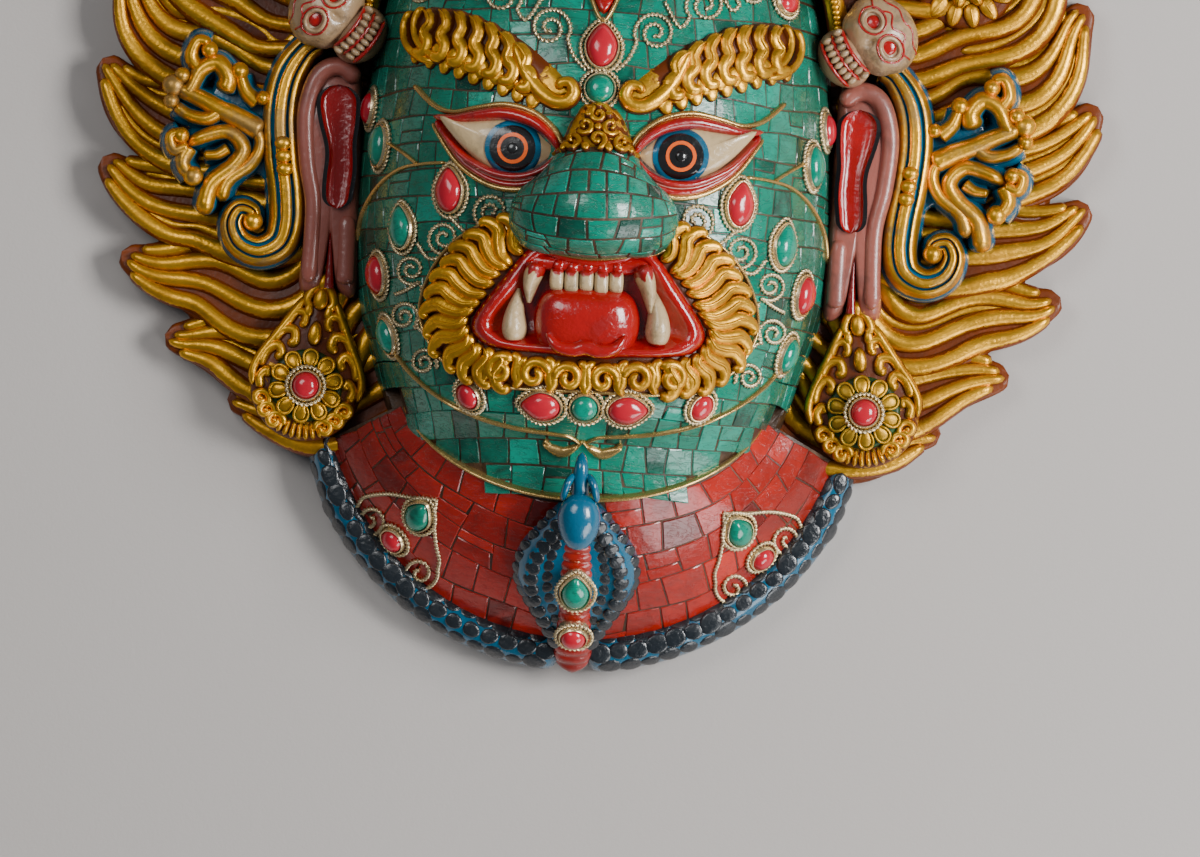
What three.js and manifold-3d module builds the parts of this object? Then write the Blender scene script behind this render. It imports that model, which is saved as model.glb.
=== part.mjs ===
// Wrathful guardian mask of the Himalayan cham dance, made as a wall piece: one hollow casting (head,
// flame halo, ears, ear pendants, skull crown and collar) set with separate coral and turquoise stones.
// Millimetres. The mask lies on its flat back: +Z out of the face, +Y towards the top of the halo.
// Face layout is measured from the foot of the nose tip: x to the mask's left eye side, v upwards.
import * as THREE from "three";
import { mergeVertices } from "three/addons/utils/BufferGeometryUtils.js";
import Module from "manifold-3d";

const wasm = await Module();
wasm.setup();

// ---- Driving dimensions -------------------------------------------------------------------------
const NOSE_Y = -31.6; // height of the nose tip above the middle of the mask
const WALL = 9; // thickness of the casting behind the face
const SEAT_GAP = 0.35; // clearance under each stone
const HALO = { v: 38, radius: 164, thickness: 11, tip: 176.5, topRise: 9.5, cut: -56 };
const LOCKS = 11; // flame locks on each side of the top lock
const LOCK = { root: 103, half: 19, tip: 3.6, rise: 13, tipRise: 5, base: 9 };
const LOCK_POWER = 4.5; // how late along its length a lock narrows to its tip
// How each lock sets off and comes in: turn from the radius in degrees, and length of the pull.
const LOCK_START = { shift: 10, turn: 38, pull: 30 };
const LOCK_END = { turn: 48, pull: 28, lowCut: 9 };
// Degrees above level: the lowest lock, the step to the next one and what each step gains.
const LOCK_FAN = { from: -41, step: 10.4, gain: 0.137 };
const HEAD_POWER = 2.3; // how square the head's cross-section is
// (v, half width) and (v, height above the back) along the head, from the neck to the crown.
const HEAD_WIDTH = [
  [-104, 69], [-84, 67], [-60, 74], [-30, 82.5], [0, 84.5], [40, 82], [80, 76], [106, 60], [122, 36],
];
const HEAD_DEPTH = [
  [-104, 57], [-88, 59], [-78, 66], [-68, 82], [-35, 86], [0, 86], [40, 84], [80, 73], [106, 50], [122, 26],
];
const COLLAR = { v: -58, neckX: 66, neckV: 42, radius: 94, rim: 12, from: 196, to: 344 };
const SNAKE = { half: 7.4, edge: 102.8, base: 6, rise: 11 }; // border of the collar: half width, outer radius
const PENDANT = { x: 98, v: -65, radius: 20.5, base: 6, rise: 22 };
const SKULLS = [[0, 131, 0], [57, 113, 27], [94, 65, 55]]; // x, v, lean from upright in degrees
const SKULL = { width: 31, height: 36, depth: 25, z: 34 };
const ROSETTES = [[126, 90], [88, 137]];
const ROSETTE = { radius: 19.5, z: 12, rise: 16 };

// ---- Small tools --------------------------------------------------------------------------------
const degrees = THREE.MathUtils.degToRad;
const point = (x, y, z) => new THREE.Vector3(x, y, z);

// Smooth curve through (t, value) knots.
function along(knots, t) {
  const last = knots.length - 1;
  let i = 0;
  while (i < last - 1 && t > knots[i + 1][0]) i += 1;
  const slope = (j) => {
    const a = knots[Math.max(j - 1, 0)];
    const b = knots[Math.min(j + 1, last)];
    return (b[1] - a[1]) / (b[0] - a[0]);
  };
  const span = knots[i + 1][0] - knots[i][0];
  const s = THREE.MathUtils.clamp((t - knots[i][0]) / span, 0, 1);
  const rise = knots[i + 1][1] - knots[i][1];
  return knots[i][1] + s * s * (3 - 2 * s) * rise
    + s * (1 - s) * (1 - s) * span * slope(i) - s * s * (1 - s) * span * slope(i + 1);
}

function toSolid(geometry) {
  const plain = geometry.index ? geometry.clone() : geometry;
  plain.deleteAttribute("normal");
  plain.deleteAttribute("uv");
  const merged = mergeVertices(plain, 1e-4);
  return new wasm.Manifold(new wasm.Mesh({
    numProp: 3,
    vertProperties: merged.attributes.position.array,
    triVerts: new Uint32Array(merged.index.array),
  }));
}

function toGeometry(solid) {
  const mesh = solid.getMesh();
  const geometry = new THREE.BufferGeometry();
  geometry.setAttribute("position", new THREE.BufferAttribute(new Float32Array(mesh.vertProperties), 3));
  geometry.setIndex(new THREE.BufferAttribute(new Uint32Array(mesh.triVerts), 1));
  return geometry;
}

const joinAll = (solids) => solids.reduce((whole, next) => whole.add(next));

function placed(geometry, position, turn = [0, 0, 0], scale = [1, 1, 1]) {
  const matrix = new THREE.Matrix4().compose(
    position,
    new THREE.Quaternion().setFromEuler(new THREE.Euler(...turn, "ZYX")),
    point(...scale),
  );
  return toSolid(geometry.applyMatrix4(matrix));
}

// Closed solid through a row of rings; each ring is a loop of points of the same count.
function loft(rings) {
  const count = rings[0].length;
  const vertices = rings.flat().flatMap((p) => [p.x, p.y, p.z]);
  const faces = [];
  for (let i = 0; i < rings.length - 1; i += 1) {
    for (let j = 0; j < count; j += 1) {
      const a = i * count + j;
      const b = i * count + ((j + 1) % count);
      faces.push(a, b, b + count, a, b + count, a + count);
    }
  }
  const ends = [[rings[0], 0, true], [rings.at(-1), (rings.length - 1) * count, false]];
  for (const [ring, start, flip] of ends) {
    const middle = ring.reduce((sum, p) => sum.add(p), point(0, 0, 0)).divideScalar(count);
    const hub = vertices.length / 3;
    vertices.push(middle.x, middle.y, middle.z);
    for (let j = 0; j < count; j += 1) {
      const a = start + j;
      const b = start + ((j + 1) % count);
      faces.push(hub, ...(flip ? [b, a] : [a, b]));
    }
  }
  const geometry = new THREE.BufferGeometry();
  geometry.setAttribute("position", new THREE.Float32BufferAttribute(vertices, 3));
  geometry.setIndex(faces);
  const solid = toSolid(geometry);
  if (solid.volume() > 0) return solid;
  geometry.setIndex(faces.reverse());
  return toSolid(geometry);
}

// ---- The head -----------------------------------------------------------------------------------
function headHeight(x, v) {
  const share = Math.min(Math.abs(x) / along(HEAD_WIDTH, v), 0.999);
  return along(HEAD_DEPTH, v) * (1 - share ** HEAD_POWER) ** (1 / HEAD_POWER);
}

function headNormal(x, v) {
  const step = 1;
  const dx = headHeight(x + step, v) - headHeight(x - step, v);
  const dv = headHeight(x, v + step) - headHeight(x, v - step);
  return point(-dx / (2 * step), -dv / (2 * step), 1).normalize();
}

const onHead = (x, v, lift = 0) => point(x, v, headHeight(x, v)).addScaledVector(headNormal(x, v), lift);

function headSolid(inset, floor, sections, spokes) {
  const from = HEAD_WIDTH[0][0] + inset;
  const to = HEAD_WIDTH.at(-1)[0] - inset;
  const rings = [];
  for (let i = 0; i <= sections; i += 1) {
    const v = from + ((to - from) * i) / sections;
    const half = along(HEAD_WIDTH, v) - inset;
    const tall = along(HEAD_DEPTH, v) - inset;
    const ring = [];
    for (let j = 0; j <= spokes; j += 1) {
      const angle = (Math.PI * j) / spokes;
      const side = Math.cos(angle);
      ring.push(point(
        half * Math.sign(side) * Math.abs(side) ** (2 / HEAD_POWER),
        v,
        tall * Math.sin(angle) ** (2 / HEAD_POWER),
      ));
    }
    ring.push(point(-half, v, floor), point(half, v, floor));
    rings.push(ring);
  }
  return loft(rings);
}

// Carved ridge with a round back along a route of points, each with the surface's own outward direction.
function ridge(route, { width, height, sink = 4, sides = 3, closed = false }) {
  const rings = route.map(({ at, out }, i) => {
    const last = route.length - 1;
    const before = route[closed ? (i + last) % (last + 1) : Math.max(i - 1, 0)].at;
    const after = route[closed ? (i + 1) % (last + 1) : Math.min(i + 1, last)].at;
    const ahead = after.clone().sub(before).normalize();
    const across = ahead.clone().cross(out).normalize();
    const share = i / last;
    const ring = [];
    for (let j = 0; j <= sides; j += 1) {
      const angle = (Math.PI * j) / sides;
      ring.push(at.clone()
        .addScaledVector(across, width(share) * Math.cos(angle))
        .addScaledVector(out, height(share) * Math.sin(angle)));
    }
    ring.push(at.clone().addScaledVector(across, -width(share)).addScaledVector(out, -sink));
    ring.push(at.clone().addScaledVector(across, width(share)).addScaledVector(out, -sink));
    return ring;
  });
  if (!closed) return loft(rings);
  const half = Math.floor(rings.length / 2);
  return loft(rings.slice(0, half + 1)).add(loft([...rings.slice(half), rings[0]]));
}

// Evenly spaced points along a smooth curve through (x, v) places.
function curve(places, steps, closed = false) {
  const spline = new THREE.CatmullRomCurve3(places.map(([x, v]) => point(x, v, 0)), closed, "centripetal");
  const points = spline.getSpacedPoints(steps);
  return closed ? points.slice(0, -1) : points;
}

const headStation = (p, lift) => ({ at: onHead(p.x, p.y, lift), out: headNormal(p.x, p.y) });
const headRoute = (points, lift = 0) => points.map((p) => headStation(p, lift));
const flatRoute = (points, z) => points.map((p, i) => ({
  at: point(p.x, p.y, typeof z === "function" ? z(i / (points.length - 1)) : z),
  out: point(0, 0, 1),
}));
const taper = (wide, narrow, power = 1) => (s) => wide + (narrow - wide) * s ** power;

// ---- Features of the face -----------------------------------------------------------------------
function nose() {
  const tip = placed(new THREE.SphereGeometry(1, 9, 6), point(0, -1, 92), [0, 0, 0], [19, 14, 19]);
  const wings = [-1, 1].map((side) =>
    placed(new THREE.SphereGeometry(1, 6, 4), point(side * 17, -3, 87), [0, 0, 0], [11.5, 10.5, 14]));
  const bridge = ridge(
    headRoute(curve([[0, 30], [0, 18], [0, 4]], 4)),
    { width: taper(8, 17), height: taper(6, 21), sink: 5 },
  );
  return joinAll([tip, bridge, ...wings]);
}

function eye(side) {
  const outline = [[-17, -1], [-4, 11], [9, 12.5], [26, 13], [14, -6], [2, -11]]
    .map(([x, v]) => [side * (30 + x), 22 + v]);
  const rim = ridge(headRoute(curve(outline, 9, true)), {
    width: () => 2, height: () => 2.6, sink: 3, sides: 2, closed: true,
  });
  const ball = placed(new THREE.SphereGeometry(1, 7, 4), onHead(side * 31, 22, -3),
    [0, degrees(side * 16), degrees(side * 12)], [19, 10.5, 6.5]);
  return rim.add(ball);
}

function brow(side) {
  const route = curve([[10, 40], [24, 46], [45, 55], [66, 59]].map(([x, v]) => [side * x, v]), 8);
  return ridge(headRoute(route), {
    width: (s) => 4 + 8 * Math.sqrt(s), height: (s) => 3.5 + 2.5 * Math.sin(Math.PI * s), sink: 4,
  });
}

const MOUTH = [
  [0, -17], [22, -15], [33, -24], [41, -37], [36, -46], [18, -48],
  [0, -51], [-18, -48], [-36, -46], [-41, -37], [-33, -24], [-22, -15],
];
const BEARD = [
  [26, -10], [41, -13], [52, -28], [50, -45], [35, -55], [0, -57],
  [-35, -55], [-50, -45], [-52, -28], [-41, -13], [-26, -10],
];

function mouthHollow() {
  const middle = -34;
  const inside = ({ x, y }) => new THREE.Vector2(x * 0.93, middle + (y - middle) * 0.9);
  const shape = new THREE.Shape(curve(MOUTH, 12, true).map(inside));
  return placed(new THREE.ExtrudeGeometry(shape, { depth: 30, bevelEnabled: false }), point(0, 0, 80.5));
}

function mouth() {
  const lips = ridge(headRoute(curve(MOUTH, 12, true)), {
    width: () => 3.2, height: () => 5, sink: 6, sides: 2, closed: true,
  });
  const beard = ridge(headRoute(curve(BEARD, 11)), { width: () => 6.5, height: () => 6 });
  const tongue = placed(new THREE.SphereGeometry(1, 8, 5), point(0, -38, 82), [0, 0, 0], [18.5, 14, 10]);
  const parts = [lips, beard, tongue];
  parts.push(placed(new THREE.BoxGeometry(28, 9, 5), point(0, -22, 86)));
  for (const side of [-1, 1]) {
    const upperFang = new THREE.ConeGeometry(3.6, 17, 5);
    parts.push(placed(upperFang, point(side * 18.5, -26, 86), [0, 0, Math.PI + side * 0.1]));
    parts.push(placed(new THREE.ConeGeometry(4, 17, 5), point(side * 25, -36, 84), [0, 0, -side * 0.06]));
  }
  return joinAll(parts);
}

// ---- Around the face ----------------------------------------------------------------------------
function haloPlate() {
  const low = Math.asin((HALO.cut - HALO.v) / HALO.radius);
  const shape = new THREE.Shape();
  shape.absarc(0, HALO.v, HALO.radius, low, Math.PI - low, false);
  shape.closePath();
  return placed(
    new THREE.ExtrudeGeometry(shape, { depth: HALO.thickness, bevelEnabled: false, curveSegments: 24 }),
    point(0, 0, 0),
  );
}

// Where flame lock k (0 lowest, LOCKS at the top) ends, and the S-shaped line that leads to it.
function lockPath(k, side) {
  const angle = degrees(LOCK_FAN.from + LOCK_FAN.step * k + LOCK_FAN.gain * k * k);
  const reach = HALO.tip + HALO.topRise * Math.max(0, Math.sin(angle)) ** 3
    - LOCK_END.lowCut * Math.max(0, 1 - k / 1.5);
  const polar = (r, a) => point(side * r * Math.cos(a), HALO.v + r * Math.sin(a), 0);
  const lean = k === LOCKS ? 0 : 1;
  const from = polar(LOCK.root, angle - degrees(LOCK_START.shift * lean));
  const to = polar(reach, angle);
  const out = (a, length) => point(side * Math.cos(a), Math.sin(a), 0).multiplyScalar(length);
  return new THREE.CubicBezierCurve3(
    from,
    from.clone().add(out(angle - degrees(LOCK_START.turn * lean), LOCK_START.pull)),
    to.clone().sub(out(angle + degrees(LOCK_END.turn * lean), LOCK_END.pull)),
    to,
  );
}

function flameLock(k, side) {
  const points = lockPath(k, side).getSpacedPoints(4);
  return ridge(flatRoute(points, LOCK.base), {
    width: (s) => LOCK.tip
      + (LOCK.half - LOCK.tip) * (1 - s ** LOCK_POWER) * (0.72 + 0.28 * Math.sin(Math.PI * s)),
    height: (s) => LOCK.tipRise + (LOCK.rise - LOCK.tipRise) * (1 - s),
    sink: LOCK.base,
    sides: 2,
  });
}

function ear(side) {
  const turned = (places) => places.map(([x, v]) => [side * x, v]);
  const rim = curve(turned([[86, 36], [92, 47], [101, 43], [104, 22], [101, -2], [97, -28]]), 7);
  const inner = curve(turned([[86, 30], [89, 12], [90, -10], [91, -32]]), 4);
  return ridge(flatRoute(rim, 26), { width: () => 5, height: () => 8, sink: 24, sides: 2 })
    .add(ridge(flatRoute(inner, 20), { width: () => 12, height: () => 6, sink: 18, sides: 2 }));
}

function scroll(side) {
  const turns = 1.35;
  const places = [[103, 55], [107, 45], [108, 25], [108, 5]].map(([x, v]) => [side * x, v]);
  for (let i = 0; i <= 9; i += 1) {
    const angle = (-2 * Math.PI * turns * i) / 9;
    const r = 15.5 * (1 - (0.82 * i) / 9);
    places.push([side * (120 - r * Math.cos(angle)), -8 + r * Math.sin(angle)]);
  }
  const stemRoute = flatRoute(curve(places, 14), 22);
  const stem = ridge(stemRoute, { width: taper(5.5, 3.5), height: () => 9, sink: 20, sides: 2 });
  const vinePlaces = [[128, -2], [136, 10], [130, 22], [140, 32], [150, 40]];
  const vine = curve(vinePlaces.map(([x, v]) => [side * x, v]), 6);
  return stem.add(ridge(flatRoute(vine, 21), { width: taper(8, 6), height: () => 8, sink: 19, sides: 2 }));
}

function pendant(side) {
  const shape = new THREE.Shape();
  const tipV = 41;
  const touch = Math.asin(PENDANT.radius / tipV);
  shape.moveTo(0, tipV);
  shape.absarc(0, 0, PENDANT.radius, Math.PI - touch, 2 * Math.PI + touch, false);
  shape.closePath();
  const drop = placed(
    new THREE.ExtrudeGeometry(shape, {
      depth: PENDANT.rise - 5,
      bevelThickness: 5,
      bevelSize: 3,
      bevelOffset: -3,
      bevelSegments: 1,
      curveSegments: 7,
    }),
    point(side * PENDANT.x, PENDANT.v, PENDANT.base),
    [0, 0, degrees(side * 7)],
  );
  const flower = new THREE.Shape();
  const petals = 9;
  for (let i = 0; i < petals * 2; i += 1) {
    const angle = (2 * Math.PI * i) / (petals * 2);
    const r = 12 + 1.6 * Math.cos(petals * angle);
    flower[i ? "lineTo" : "moveTo"](r * Math.cos(angle), r * Math.sin(angle));
  }
  const blossom = placed(new THREE.ExtrudeGeometry(flower, { depth: 6, bevelEnabled: false }),
    point(side * PENDANT.x, PENDANT.v, PENDANT.base + PENDANT.rise - 3));
  return drop.add(blossom);
}

function skull([x, v, lean], side) {
  const turn = new THREE.Matrix4().makeRotationZ(degrees(-side * lean)).setPosition(side * x, v, SKULL.z);
  const dome = new THREE.SphereGeometry(1, 7, 4)
    .scale(SKULL.width / 2, SKULL.height * 0.38, SKULL.depth / 2)
    .translate(0, 4, 0);
  const jaw = new THREE.SphereGeometry(1, 6, 3)
    .scale(SKULL.width * 0.34, SKULL.height * 0.3, SKULL.depth * 0.42)
    .translate(0, -9, 0);
  const socket = (sx) => new THREE.SphereGeometry(1, 5, 3)
    .scale(4.3, 4, 5)
    .translate(sx, 2, SKULL.depth / 2);
  const body = joinAll([dome, jaw].map((g) => toSolid(g.applyMatrix4(turn))));
  const holes = joinAll([-6, 6].map((sx) => toSolid(socket(sx).applyMatrix4(turn))));
  const post = new THREE.CylinderGeometry(9, 10, SKULL.z, 5).rotateX(Math.PI / 2);
  const foot = placed(post, point(side * x, v, SKULL.z / 2));
  return body.subtract(holes).add(foot);
}

function rosette([x, v], side) {
  // (share of the radius, share of the rise) from the back of the disc to its middle.
  const profile = [[0, 0], [1, 0], [1, 0.38], [0.82, 0.62], [0.56, 0.5], [0.41, 0.88], [0, 1]]
    .map(([r, z]) => new THREE.Vector2(r * ROSETTE.radius, z * ROSETTE.rise));
  return placed(new THREE.LatheGeometry(profile, 9).rotateX(Math.PI / 2), point(side * x, v, ROSETTE.z));
}

function crownBand() {
  const route = curve([[-84, 62], [-76, 88], [-52, 104], [0, 114], [52, 104], [76, 88], [84, 62]], 12);
  const bowed = flatRoute(route, (s) => 26 + 24 * Math.sin(Math.PI * s));
  return ridge(bowed, { width: () => 4, height: () => 5, sink: 26, sides: 2 });
}

// Skirt from the neck out to the snake border, as a fan of sections.
function collarPlaces(angle, t) {
  const inner = [COLLAR.neckX * Math.cos(angle), COLLAR.v + COLLAR.neckV * Math.sin(angle)];
  const outer = [COLLAR.radius * Math.cos(angle), COLLAR.v + COLLAR.radius * Math.sin(angle)];
  const share = Math.abs(inner[0] / 70);
  const neck = along(HEAD_DEPTH, -95) * Math.max(0, 1 - share ** HEAD_POWER) ** (1 / HEAD_POWER);
  const z = COLLAR.rim + (Math.max(neck, 16) - COLLAR.rim) * (1 - t) + 5 * Math.sin(Math.PI * t);
  return point(inner[0] + (outer[0] - inner[0]) * t, inner[1] + (outer[1] - inner[1]) * t, z);
}

function collarNormal(angle, t) {
  const across = collarPlaces(angle + 0.01, t).sub(collarPlaces(angle - 0.01, t));
  const down = collarPlaces(angle, t + 0.01).sub(collarPlaces(angle, t - 0.01));
  const out = across.cross(down).normalize();
  return out.z > 0 ? out : out.negate();
}

function collarSolid(inset, floor) {
  const rings = [];
  const fans = 10;
  const steps = 3;
  for (let i = 0; i <= fans; i += 1) {
    const angle = degrees(COLLAR.from + inset / 2 + ((COLLAR.to - COLLAR.from - inset) * i) / fans);
    const ring = [];
    for (let j = 0; j <= steps; j += 1) {
      const p = collarPlaces(angle, inset ? (j / steps) * 0.86 - 0.12 : j / steps);
      ring.push(p.setZ(p.z - inset));
    }
    ring.push(ring.at(-1).clone().setZ(floor), ring[0].clone().setZ(floor));
    rings.push(ring);
  }
  return loft(rings);
}

function snakeBorder() {
  const points = [];
  const count = 12;
  for (let i = 0; i <= count; i += 1) {
    const angle = degrees(COLLAR.from - 1 + ((COLLAR.to - COLLAR.from + 2) * i) / count);
    const r = SNAKE.edge - SNAKE.half;
    points.push(point(r * Math.cos(angle), COLLAR.v + r * Math.sin(angle), 0));
  }
  const size = { width: () => SNAKE.half, height: () => SNAKE.rise, sink: SNAKE.base };
  return ridge(flatRoute(points, SNAKE.base), size);
}

function cobra() {
  const down = (t) => collarPlaces(degrees(270), t);
  const station = (t, lift) => ({ at: down(t).add(point(0, 0, lift)), out: collarNormal(degrees(270), t) });
  const body = [-0.12, 0.1, 0.35, 0.6, 0.85, 1.06].map((t) => station(t, 4));
  const hood = [0.08, 0.25, 0.42, 0.62, 0.85].map((t) => station(t, 3));
  const hoodWidth = [9, 18, 21, 17, 8];
  return ridge(body, { width: (s) => 5 + 2 * s, height: (s) => 9 - 3 * s, sink: 10 })
    .add(ridge(hood, { width: (s) => hoodWidth[Math.round(s * 4)], height: () => 5, sink: 10 }))
    .add(placed(new THREE.SphereGeometry(1, 7, 4), down(0.02).add(point(0, 0, 14)), [0, 0, 0], [8, 12, 8]));
}

// ---- Stones -------------------------------------------------------------------------------------
// Outline of a cabochon in its own plane: "drop" has its point towards +Y.
function stoneOutline(kind, length, width, grow, count) {
  const outline = [];
  for (let i = 0; i < count; i += 1) {
    const angle = Math.PI / 2 + (2 * Math.PI * i) / count;
    const pinch = kind === "drop" ? 1 - 0.42 * Math.max(0, Math.sin(angle)) ** 1.5 : 1;
    outline.push([(width / 2 + grow) * Math.cos(angle) * pinch, (length / 2 + grow) * Math.sin(angle)]);
  }
  return outline;
}

function stoneFrame(at, out, turn) {
  const up = point(-Math.sin(degrees(turn)), Math.cos(degrees(turn)), 0);
  const along3 = up.addScaledVector(out, -up.dot(out)).normalize();
  return new THREE.Matrix4().makeBasis(along3.clone().cross(out), along3, out).setPosition(at);
}

const STONE_SIDES = 7;
const BEZEL_LIFT = 1.2;
const ring3 = (outline, scale, z, frame) =>
  outline.map(([x, y]) => point(x * scale, y * scale, z).applyMatrix4(frame));

function cabochon({ kind, length, width, dome }, frame) {
  const outline = stoneOutline(kind, length, width, 0, STONE_SIDES);
  const base = BEZEL_LIFT + SEAT_GAP;
  return loft([[1, 0], [1, 0.45], [0.62, 1]].map(([scale, rise]) =>
    ring3(outline, scale, base + rise * dome, frame)));
}

function bezel({ kind, length, width }, frame, depth) {
  const outline = stoneOutline(kind, length, width, 1.2, STONE_SIDES);
  return loft([ring3(outline, 1, -depth, frame), ring3(outline, 1, BEZEL_LIFT, frame)]);
}

const CORAL = new THREE.MeshStandardMaterial({ color: 0xb3202a, roughness: 0.22, metalness: 0 });
const TURQUOISE = new THREE.MeshStandardMaterial({ color: 0x008c78, roughness: 0.25, metalness: 0 });
const BODY = new THREE.MeshStandardMaterial({ color: 0x9a6a22, roughness: 0.45, metalness: 0.4 });

// name, material, outline, length, width, x, v, turn in degrees; x is mirrored for the right-hand copy.
const HEAD_STONES = [
  ["coral_forehead", CORAL, "drop", 15, 10.5, 0, 58, 0],
  ["turquoise_between_brows", TURQUOISE, "round", 9.5, 9.5, 0, 43, 0],
  ["turquoise_chin", TURQUOISE, "round", 9, 9, 0, -67.5, 0],
];
const PAIRED_HEAD_STONES = [
  ["coral_temple", CORAL, "oval", 11, 8, 79, 33, 4],
  ["turquoise_temple", TURQUOISE, "oval", 14, 9.5, 75, 20, 0],
  ["coral_under_eye", CORAL, "drop", 15, 10, 50, 5.5, -6],
  ["turquoise_cheek", TURQUOISE, "drop", 14.5, 10, 66, -8, -14],
  ["coral_cheek", CORAL, "oval", 13, 10, 73.5, -25, -16],
  ["turquoise_jaw", TURQUOISE, "oval", 12, 9, 69, -46, -42],
  ["coral_jaw", CORAL, "oval", 9, 7.5, 40, -65.5, -30],
  ["coral_chin", CORAL, "drop", 13.5, 10, 15, -67.5, -90],
  ["coral_brow_end", CORAL, "oval", 10, 8, 63, 77, -60],
];

const stones = [];
const bezels = [];

function setStone([name, material, kind, length, width], at, out, turn, depth = 4) {
  const stone = { kind, length, width, dome: Math.min(length, width) * 0.36 };
  const frame = stoneFrame(at, out, turn);
  bezels.push(bezel(stone, frame, depth));
  stones.push({ name, material, solid: cabochon(stone, frame) });
}

for (const row of HEAD_STONES) {
  const [, , , , , x, v, turn] = row;
  setStone(row, onHead(x, v), headNormal(x, v), turn);
}
for (const row of PAIRED_HEAD_STONES) {
  const [name, , , , , x, v, turn] = row;
  for (const [word, side] of [["left", -1], ["right", 1]]) {
    const named = [`${name}_${word}`, ...row.slice(1)];
    setStone(named, onHead(side * x, v), headNormal(side * x, v), side * turn);
  }
}
for (const [word, side] of [["left", -1], ["right", 1]]) {
  const middle = 270;
  const fan = (spread) => degrees(middle + side * spread);
  setStone([`turquoise_collar_${word}`, TURQUOISE, "drop", 12.5, 9],
    collarPlaces(fan(43.5), 0.52), collarNormal(fan(43.5), 0.52), side * 40);
  setStone([`coral_collar_${word}`, CORAL, "round", 8, 8],
    collarPlaces(fan(46), 0.83), collarNormal(fan(46), 0.83), 0);
  setStone([`coral_pendant_${word}`, CORAL, "round", 9, 9],
    point(side * PENDANT.x, PENDANT.v, PENDANT.base + PENDANT.rise + 3), point(0, 0, 1), 0);
}
// Stones on the cobra's belly, t of the way from neck to rim.
const cobraOut = (t) => collarNormal(degrees(270), t);
const cobraSeat = (t) => collarPlaces(degrees(270), t).addScaledVector(cobraOut(t), 12.5 - 2.5 * t);
setStone(["turquoise_cobra", TURQUOISE, "drop", 14, 9.5], cobraSeat(0.47), cobraOut(0.47), 0, 6);
setStone(["coral_cobra", CORAL, "round", 8.5, 8.5], cobraSeat(0.77), cobraOut(0.77), 0, 7);

// ---- The casting --------------------------------------------------------------------------------
function maskBody() {
  const parts = [headSolid(0, 0, 11, 10), haloPlate(), collarSolid(0, 0), snakeBorder(), crownBand()];
  parts.push(skull(SKULLS[0], 1));
  for (let k = 0; k < LOCKS; k += 1) parts.push(flameLock(k, -1), flameLock(k, 1));
  parts.push(flameLock(LOCKS, 1));
  for (const side of [-1, 1]) {
    parts.push(ear(side), scroll(side), pendant(side));
    parts.push(...SKULLS.slice(1).map((place) => skull(place, side)));
    parts.push(...ROSETTES.map((place) => rosette(place, side)));
  }
  const hollow = headSolid(WALL, -5, 8, 8).add(collarSolid(WALL, -5));
  const features = [nose(), mouth(), eye(-1), eye(1), brow(-1), brow(1), cobra(), ...bezels];
  return joinAll([joinAll(parts).subtract(mouthHollow()), ...features]).subtract(hollow);
}

const mask = new THREE.Group();
mask.position.y = NOSE_Y;

function addNode(name, solid, material) {
  const mesh = new THREE.Mesh(toGeometry(solid), material);
  mesh.name = name;
  mask.add(mesh);
}

addNode("mask_casting", maskBody(), BODY);
for (const { name, solid, material } of stones) addNode(name, solid, material);

export default mask;
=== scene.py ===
"""Wrathful guardian mask: the looks of every piece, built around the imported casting.

Shapes are laid out in millimetres: x to the mask's right, v upwards from the foot of the nose tip,
z out of the face from the flat back. Form.finish turns them into metres in the frame of the casting.
"""

import math
import random

import bpy
import numpy as np
from bpy.props import FloatProperty, FloatVectorProperty, IntProperty, PointerProperty
from bpy.types import Operator, Panel, PropertyGroup
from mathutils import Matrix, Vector


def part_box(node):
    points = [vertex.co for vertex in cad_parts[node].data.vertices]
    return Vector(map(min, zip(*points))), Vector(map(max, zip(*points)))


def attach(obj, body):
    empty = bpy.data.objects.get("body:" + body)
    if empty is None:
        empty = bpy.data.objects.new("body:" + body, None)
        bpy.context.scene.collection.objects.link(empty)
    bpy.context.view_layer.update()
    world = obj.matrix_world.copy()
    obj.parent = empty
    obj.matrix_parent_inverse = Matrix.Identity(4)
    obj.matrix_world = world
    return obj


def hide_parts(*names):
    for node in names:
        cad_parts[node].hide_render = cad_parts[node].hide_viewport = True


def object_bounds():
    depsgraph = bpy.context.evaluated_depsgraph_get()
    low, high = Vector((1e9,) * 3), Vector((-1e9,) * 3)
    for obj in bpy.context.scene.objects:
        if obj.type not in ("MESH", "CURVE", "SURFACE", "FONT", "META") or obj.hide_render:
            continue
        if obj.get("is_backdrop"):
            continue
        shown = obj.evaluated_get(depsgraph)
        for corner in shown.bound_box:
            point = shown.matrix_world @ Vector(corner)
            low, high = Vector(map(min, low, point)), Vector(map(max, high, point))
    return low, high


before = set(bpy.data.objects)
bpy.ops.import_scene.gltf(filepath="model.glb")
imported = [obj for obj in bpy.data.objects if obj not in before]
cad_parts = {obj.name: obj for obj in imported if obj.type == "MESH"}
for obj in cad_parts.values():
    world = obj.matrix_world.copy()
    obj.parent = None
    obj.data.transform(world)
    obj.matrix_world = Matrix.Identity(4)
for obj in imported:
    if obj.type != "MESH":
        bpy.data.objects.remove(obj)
CAD_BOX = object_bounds()

bl_info = {
    "name": "Guardian Mask",
    "version": (1, 0, 0),
    "blender": (4, 5, 0),
    "location": "View3D > Sidebar > Mask",
    "description": "Builds the mosaic, gilding, stones and wires of a guardian mask on its casting",
    "category": "Object",
}

MM = 0.001
BROW_STONE_V = 43.0  # height of the stone between the brows above the foot of the nose tip
TAU = 2 * math.pi


def box_centre(node):
    """Middle of a casting node, in millimetres of the row frame."""
    low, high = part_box(node)
    return (np.array(low) + np.array(high)) / (2 * MM)


LAYOUT_Y = box_centre("turquoise_between_brows")[1] - BROW_STONE_V

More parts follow.
